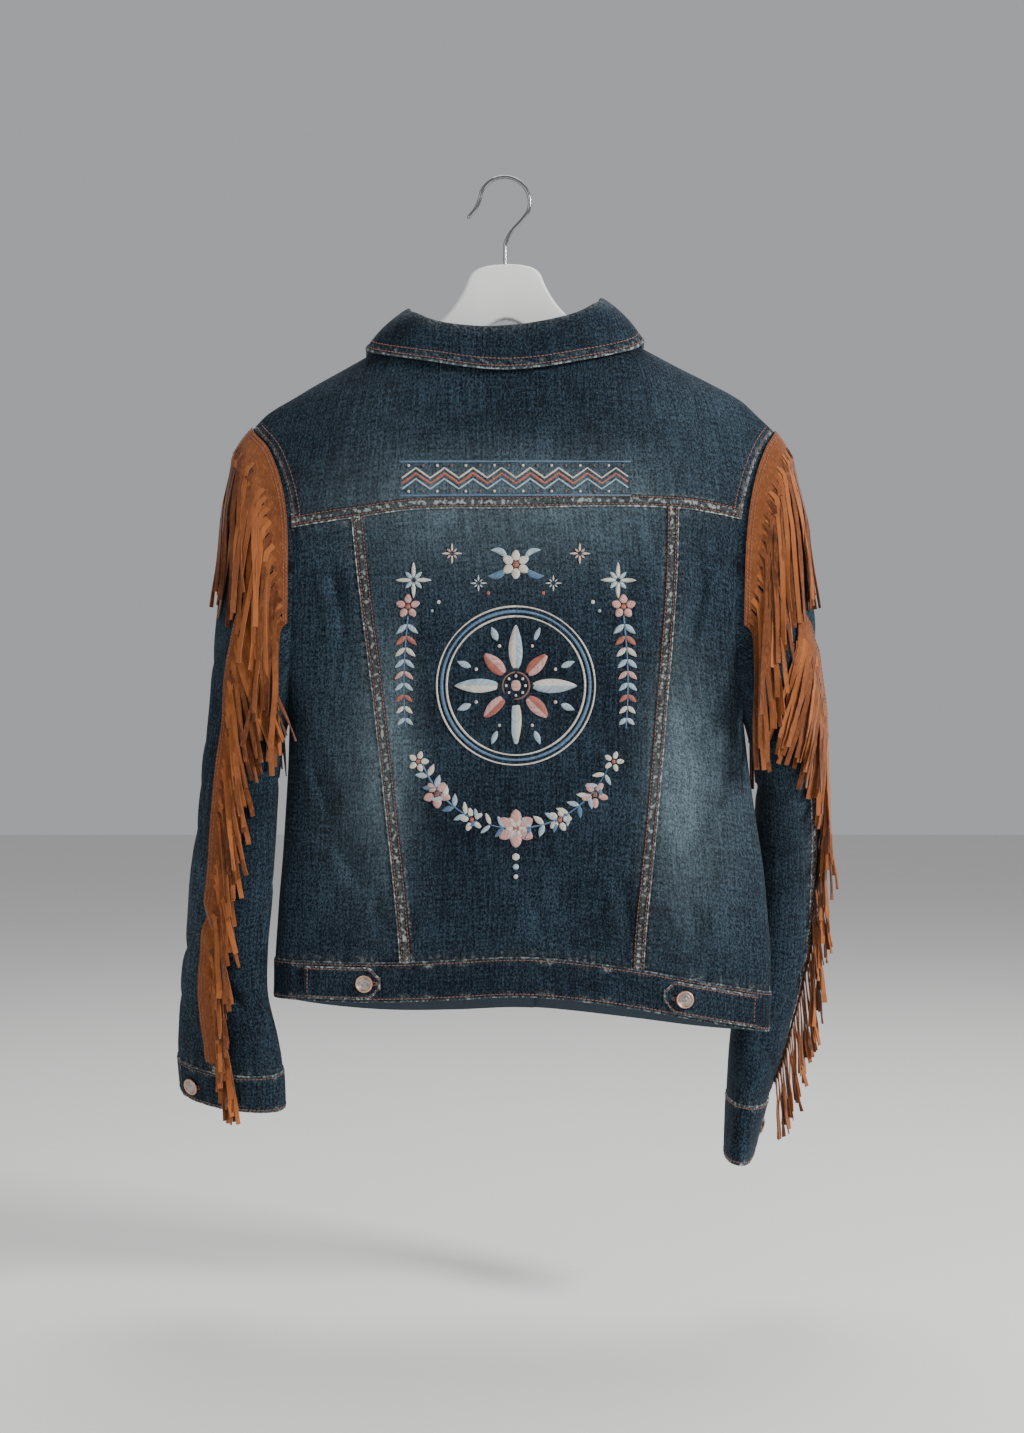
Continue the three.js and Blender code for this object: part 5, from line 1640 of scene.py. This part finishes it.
def hanger_bow():
    ring = bow_outline()
    ring[:, 1] += TILT * ring[:, 0]
    along = np.roll(ring, -1, axis=0) - np.roll(ring, 1, axis=0)
    inward = np.stack([along[:, 1], -along[:, 0]], axis=1)
    inward /= np.linalg.norm(inward, axis=1, keepdims=True)
    turns = np.linspace(0, PI / 2, 6)
    heights = BOW_THICK / 2 - BOW_ROUNDING * (1 - np.cos(turns))
    insets = BOW_ROUNDING * (1 - np.sin(turns))
    mesh = bmesh.new()
    rings = []
    for y, inset in [*zip(-heights, insets), *zip(heights[-2::-1], insets[-2::-1])]:
        moved = ring + inward * inset
        rings.append([mesh.verts.new((x * MM, y * MM, z * MM)) for x, z in moved])
    for low, high in zip(rings, rings[1:]):
        for k in range(len(ring)):
            n = (k + 1) % len(ring)
            mesh.faces.new((low[k], low[n], high[n], high[k]))
    caps = [mesh.faces.new(rings[0]), mesh.faces.new(rings[-1])]
    bmesh.ops.triangulate(mesh, faces=caps)
    bmesh.ops.recalc_face_normals(mesh, faces=mesh.faces)
    data = bpy.data.meshes.new("hanger_bow_painted")
    mesh.to_mesh(data)
    mesh.free()
    data.polygons.foreach_set("use_smooth", [True] * len(data.polygons))
    obj = placed("hanger_bow_painted", data)
    data.set_sharp_from_angle(angle=math.radians(40))
    dressed(obj, white_paint)
    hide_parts("hanger_bow")


def spline(points, steps=8):
    points = np.array(points, float)
    padded = np.concatenate([[2 * points[0] - points[1]], points, [2 * points[-1] - points[-2]]])
    fine = []
    for i in range(1, len(padded) - 2):
        fine += curve_between(*padded[i - 1 : i + 3], np.linspace(0, 1, steps, endpoint=False))
    return np.array([*fine, points[-1]])


def hanger_hook():
    """A bent wire that rises from the bow, turns over the rod and ends in a rounded tip."""
    wire, bow = 1.8, 23.5
    points = [(0, -82), (0, -70), (0.4, -60), (6, -49), (14.5, -39.5)]
    for a in range(-22, 177, 22):
        turn = math.radians(a)
        points.append((bow * math.cos(turn) - 0.5, wire - bow + bow * math.sin(turn)))
    points += [(-28, -28.5), (-35, -37)]
    path = np.array([(x, 0, z) for x, z in spline(points)])
    run = run_of(path)
    radius = wire * np.sqrt(np.clip(1 - (1 - np.clip((run[-1] - run) / wire, 0, 1)) ** 2, 0.0004, 1))
    along = np.gradient(path, axis=0)
    along /= np.linalg.norm(along, axis=1, keepdims=True)
    out = np.cross(along, (0, 1, 0))
    sides = 24
    turn = np.linspace(0, 2 * PI, sides, endpoint=False)
    ring = [
        p + r * (math.cos(t) * o + math.sin(t) * np.array([0, 1.0, 0]))
        for p, r, o in zip(path, radius, out)
        for t in turn
    ]
    faces = tube_faces(0, len(path), sides)
    obj = mesh_object("hanger_hook_wire", ring, faces, sharp=math.radians(50))
    dressed(obj, steel)
    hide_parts("hanger_hook")


hanger_bow()
hanger_hook()


# Embroidery: raised satin stitch laid on the back of the garment


PATCH_BASE = 0.15


class Motifs:
    """Collects the patches of one thread colour into one piece."""

    def __init__(self):
        self.points = []
        self.faces = []
        self.uv = []

    def patch(self, path, widths, rise=0.95, across=7, slant=0.0):
        """Satin stitch along a path in x and z, with its width at each point of the path."""
        path = np.asarray(path, float)
        widths = np.asarray(widths, float)
        way = np.gradient(path, axis=0)
        way /= np.maximum(np.linalg.norm(way, axis=1, keepdims=True), 1e-9)
        side = np.stack([way[:, 1], -way[:, 0]], axis=1)
        v = np.linspace(-1, 1, across)
        flat = path[:, None] + side[:, None] * (v[None, :, None] * widths[:, None, None] / 2)
        angle = angle_at(flat[..., 0], flat[..., 1])
        under, normal = body_at(angle, flat[..., 1]), body_normal(angle, flat[..., 1])
        round_over = np.where(np.abs(v) > 0.99, -0.5, rise * np.sqrt(np.clip(1 - v * v, 0, 1)) + PATCH_BASE)
        at_end = np.ones(len(path))
        at_end[[0, -1]] = -0.4
        height = seam_under(flat) + round_over * at_end[:, None]
        points = under + normal * height[..., None]
        first = len(self.points)
        self.points += list(points.reshape(-1, 3))
        off = v * widths[:, None] / 2
        self.uv += list(np.stack([run_of(path)[:, None] + slant * off, off], axis=-1).reshape(-1, 2))
        for corner in range(first, first + (len(path) - 1) * across, across):
            for k in range(corner, corner + across - 1):
                self.faces.append([k, k + 1, k + across + 1, k + across])

    def leaf(self, x, z, turn, length, wide, sharp=1.0, slant=0.8, back=0.0):
        """A leaf, petal or point of a star that starts at a place and runs in a direction."""
        t = np.linspace(0, 1, 11)
        way = np.array([math.sin(turn), math.cos(turn)])
        bow = np.array([way[1], -way[0]]) * back
        path = np.array([x, z]) + way * (t * length)[:, None] + bow * np.sin(PI * t)[:, None]
        self.patch(path, wide * np.sin(PI * t**0.85) ** sharp + 0.25, slant=slant)

    def dot(self, x, z, size):
        t = np.linspace(-1, 1, 9)
        path = np.stack([np.full(9, float(x)), z + t * size], axis=1)
        self.patch(path, 2 * size * np.sqrt(np.clip(1 - t * t, 0.01, 1)), rise=0.9)

    def line(self, path, wide, rise=0.6):
        path = np.asarray(path, float)
        self.patch(path, np.full(len(path), wide), rise, across=5)

    def made(self, name, material):
        obj = mesh_object(name, self.points, self.faces, uv=self.uv, sharp=math.radians(70))
        dressed(obj, material)


def seam_under(flat):
    """How far the yoke's raised seam lifts the embroidery that crosses it."""
    above = flat[..., 1] - yoke_seam(flat[..., 0])
    return SEAM_RISE * np.where(above > -0.8, smooth((SEAM_WIDTH + 1 - above) / 2), 0)


def arc(x, z, radius, start, end, count=40, tall=1.0):
    turn = np.radians(np.linspace(start, end, count))
    return np.stack([x + radius * np.sin(turn), z + tall * radius * np.cos(turn)], axis=1)


threads = {name: Motifs() for name in ("cream", "sky", "blue", "rust", "brown", "rose")}
MID_X = 10.0


def mirrored(draw):
    """Draws a group on both sides, and gives it the way out and where a distance from the middle is."""
    for way in (-1, 1):
        draw(way, lambda x: MID_X + way * x)


def from_place(x, z, turn, distance):
    """The place at a distance from another one, in a direction."""
    return x + distance * math.sin(turn), z + distance * math.cos(turn)


def medallion():
    """An eight-pointed star with two threads to each point, in a ring of three lines."""
    x, z = MID_X, -472.0
    near = 14.5
    for k in range(8):
        turn = k * PI / 4
        long = 56 if k % 2 == 0 else 41
        a, b = ("cream", "sky") if k % 2 == 0 else ("rust", "rose")
        for name, lean, slant in ((a, -0.115, -1.0), (b, 0.115, 1.0)):
            start = from_place(x, z, turn + lean, near)
            threads[name].leaf(*start, turn - lean * 0.3, long - near, 11.5, 0.85, slant=slant)
    threads["brown"].line(arc(x, z, 12.2, 0, 360), 2.4)
    threads["rose"].dot(x, z, 5.6)
    for k in range(8):
        threads["cream"].dot(*from_place(x, z, k * PI / 4, 8.8), 1.5)
    threads["cream"].line(arc(x, z, 63, 0, 360, 120), 2.0)
    threads["blue"].line(arc(x, z, 67.5, 0, 360, 120), 3.0)
    threads["cream"].line(arc(x, z, 72, 0, 360, 130), 1.8)
    for k in range(8):
        turn = (k + 0.5) * PI / 4
        threads["sky"].leaf(*from_place(x, z, turn, 44), turn, 14, 6.0)
        threads["cream"].dot(*from_place(x, z, turn, 39), 1.6)


def flower(x, z, size, petals, heart, count=5, turn=0.0):
    for k in range(count):
        a = turn + k * 2 * PI / count
        threads[petals].leaf(*from_place(x, z, a, 0.24 * size), a, 0.8 * size, 0.62 * size, 0.65)
    threads[heart].dot(x, z, 0.24 * size)


def garland():
    """A swag of leaves and flowers that hangs below the star."""
    swag = arc(MID_X, -508.0, 92, 112, 248, 90, 1.02)
    threads["blue"].line(swag, 1.7)
    count = len(swag)
    for k in range(4, count - 3, 5):
        way = swag[min(k + 1, count - 1)] - swag[k - 1]
        turn = math.atan2(way[0], way[1])
        for side, name in ((1, "sky"), (-1, "blue")):
            name = name if k % 2 else ("cream" if side > 0 else "sky")
            threads[name].leaf(*swag[k], turn + side * 0.95, 12.5, 5.4, slant=0.9 * side)
    flower(MID_X, -602.0, 17, "rose", "rust", 6)
    flower(MID_X, -602.0, 9, "cream", "brown", 6, 0.5)

    def side_flowers(way, at):
        flower(at(40), -594.0, 11, "cream", "rust", 5, 0.2 * way)
        flower(at(72), -571.0, 12.5, "rose", "brown", 5, 0.6)
        flower(at(89), -541.0, 9.5, "cream", "rust", 5, 0.3)

    mirrored(side_flowers)
    for k, size in enumerate((3.4, 2.8, 2.2)):
        threads["sky" if k % 2 else "cream"].dot(MID_X, -628.0 - 9 * k, size)


def zigzag_band():
    """A woven-looking band of zigzags above the yoke seam."""
    z = -283.5
    half, step = 104, 13.0
    for name, shift, wide in (("rust", 0.0, 2.8), ("cream", 5.0, 1.9), ("sky", -5.0, 1.9)):
        corners = [
            np.array([MID_X - half + k * step, z + shift + (4.6 if k % 2 else -4.6)])
            for k in range(int(2 * half / step) + 1)
        ]
        fine = [mix(a, b, t) for a, b in zip(corners, corners[1:]) for t in (0, 0.25, 0.5, 0.75)]
        threads[name].line([*fine, corners[-1]], wide)
    for edge in (-15.5, 15.5):
        path = [(x, z + edge) for x in np.linspace(MID_X - half - 2, MID_X + half + 2, 90)]
        threads["blue"].line(path, 2.0)
        for k in range(int(2 * half / step)):
            threads["brown" if k % 2 else "cream"].dot(MID_X - half + (k + 0.5) * step, z + edge * 0.76, 1.35)


def small_star(x, z, size, short_name, long_name):
    for k in range(8):
        turn = k * PI / 4
        name, long = (short_name, 0.6 * size) if k % 2 else (long_name, size)
        threads[name].leaf(*from_place(x, z, turn, 1.6), turn, long, size * 0.26, 0.8)


def flanks():
    """Sprigs, crescents and stars beside the medallion."""

    def side(way, at):
        small_star(at(93), -376.0, 15, "sky", "cream")
        small_star(at(58), -352.0, 8, "rose", "cream")
        bend = way * 4 * np.sin(np.linspace(0, 2.6, 40))
        stem = np.stack([at(98) + bend, np.linspace(-408, -512, 40)], axis=1)
        threads["blue"].line(stem, 1.7)
        for k in range(3, 38, 4):
            colour = ("sky", "rust", "cream", "sky", "rose")[(k // 4) % 5]
            for lean in (-1, 1):
                threads[colour].leaf(*stem[k], PI + lean * 0.85, 14 - 0.12 * k, 5.2, slant=0.9 * lean)
        flower(at(98), -400.0, 11, "rose", "rust", 5)
        small_star(at(34), -379.0, 6, "sky", "cream")
        threads["rust"].dot(at(25), -388.0, 1.8)
        threads["cream"].dot(at(70), -396.0, 2.0)
        threads["sky"].dot(at(76), -404.0, 1.6)

    mirrored(side)
    flower(MID_X, -362.0, 13, "cream", "rust", 6)
    mirrored(lambda way, at: threads["blue"].leaf(at(9), -366.0, way * 1.9, 19, 7, back=way * 3))
    mirrored(lambda way, at: threads["sky"].leaf(at(8), -356.0, way * 1.15, 17, 6, back=-way * 3))


zigzag_band()
medallion()
flanks()
garland()
for name, motifs in threads.items():
    motifs.made(f"embroidery_{name}", embroidery_thread[name])


# Stage


def light(name, place, aim, size, power):
    """A square lamp that faces a place."""
    lamp = bpy.data.lights.new(name, "AREA")
    lamp.shape = "RECTANGLE"
    lamp.size = lamp.size_y = size
    lamp.energy = power
    obj = placed(name, lamp)
    obj.location = place
    way = np.array(aim) - np.array(place)
    obj.rotation_euler = (math.atan2(math.hypot(way[0], way[1]), -way[2]), 0, math.atan2(-way[0], way[1]))


def pale_floor():
    s = Shader("pale_floor")
    cloudy = s.noise(s.place(), 3.0, 2)
    base = s.colour((0.78, 0.77, 0.75, 1), (0.81, 0.80, 0.78, 1), cloudy)
    reach, level = 9, -1.06
    corners = [(x * reach, y * reach, level) for x, y in ((-1, -1), (1, -1), (1, 1), (-1, 1))]
    mesh = bpy.data.meshes.new("floor")
    mesh.from_pydata(corners, [], [(0, 1, 2, 3)])
    mesh.materials.append(s.finish(base, 0.9 + 0.05 * cloudy))
    placed("floor", mesh)


pale_floor()
light("soft_key", place=(2.5, -1.35, 0.75), aim=(0, 0, -0.5), size=0.65, power=125)
light("soft_fill", place=(-2.0, -2.0, 0.2), aim=(0, 0, -0.5), size=2.0, power=24)
light("soft_top", place=(0.2, 0.9, 1.6), aim=(0, 0, -0.4), size=1.6, power=40)
world = bpy.data.worlds.new("pale_room")
world.use_nodes = True
background = world.node_tree.nodes["Background"]
background.inputs["Color"].default_value = (0.86, 0.87, 0.9, 1)
background.inputs["Strength"].default_value = 0.46
bpy.context.scene.world = world

# The camera stands level with the jacket's middle, and its picture is this many metres tall there
CAMERA_AWAY = 2.2
PICTURE_TALL = 1.333
camera_data = bpy.data.cameras.new("photo_view")
camera_data.sensor_fit = "VERTICAL"
camera_data.sensor_height = 36
camera_data.lens = 36 * CAMERA_AWAY / PICTURE_TALL
camera = placed("photo_view", camera_data)
camera.location = (0.0065, -CAMERA_AWAY, -0.5)
camera.rotation_euler = (PI / 2, 0, 0)
bpy.context.scene.camera = camera
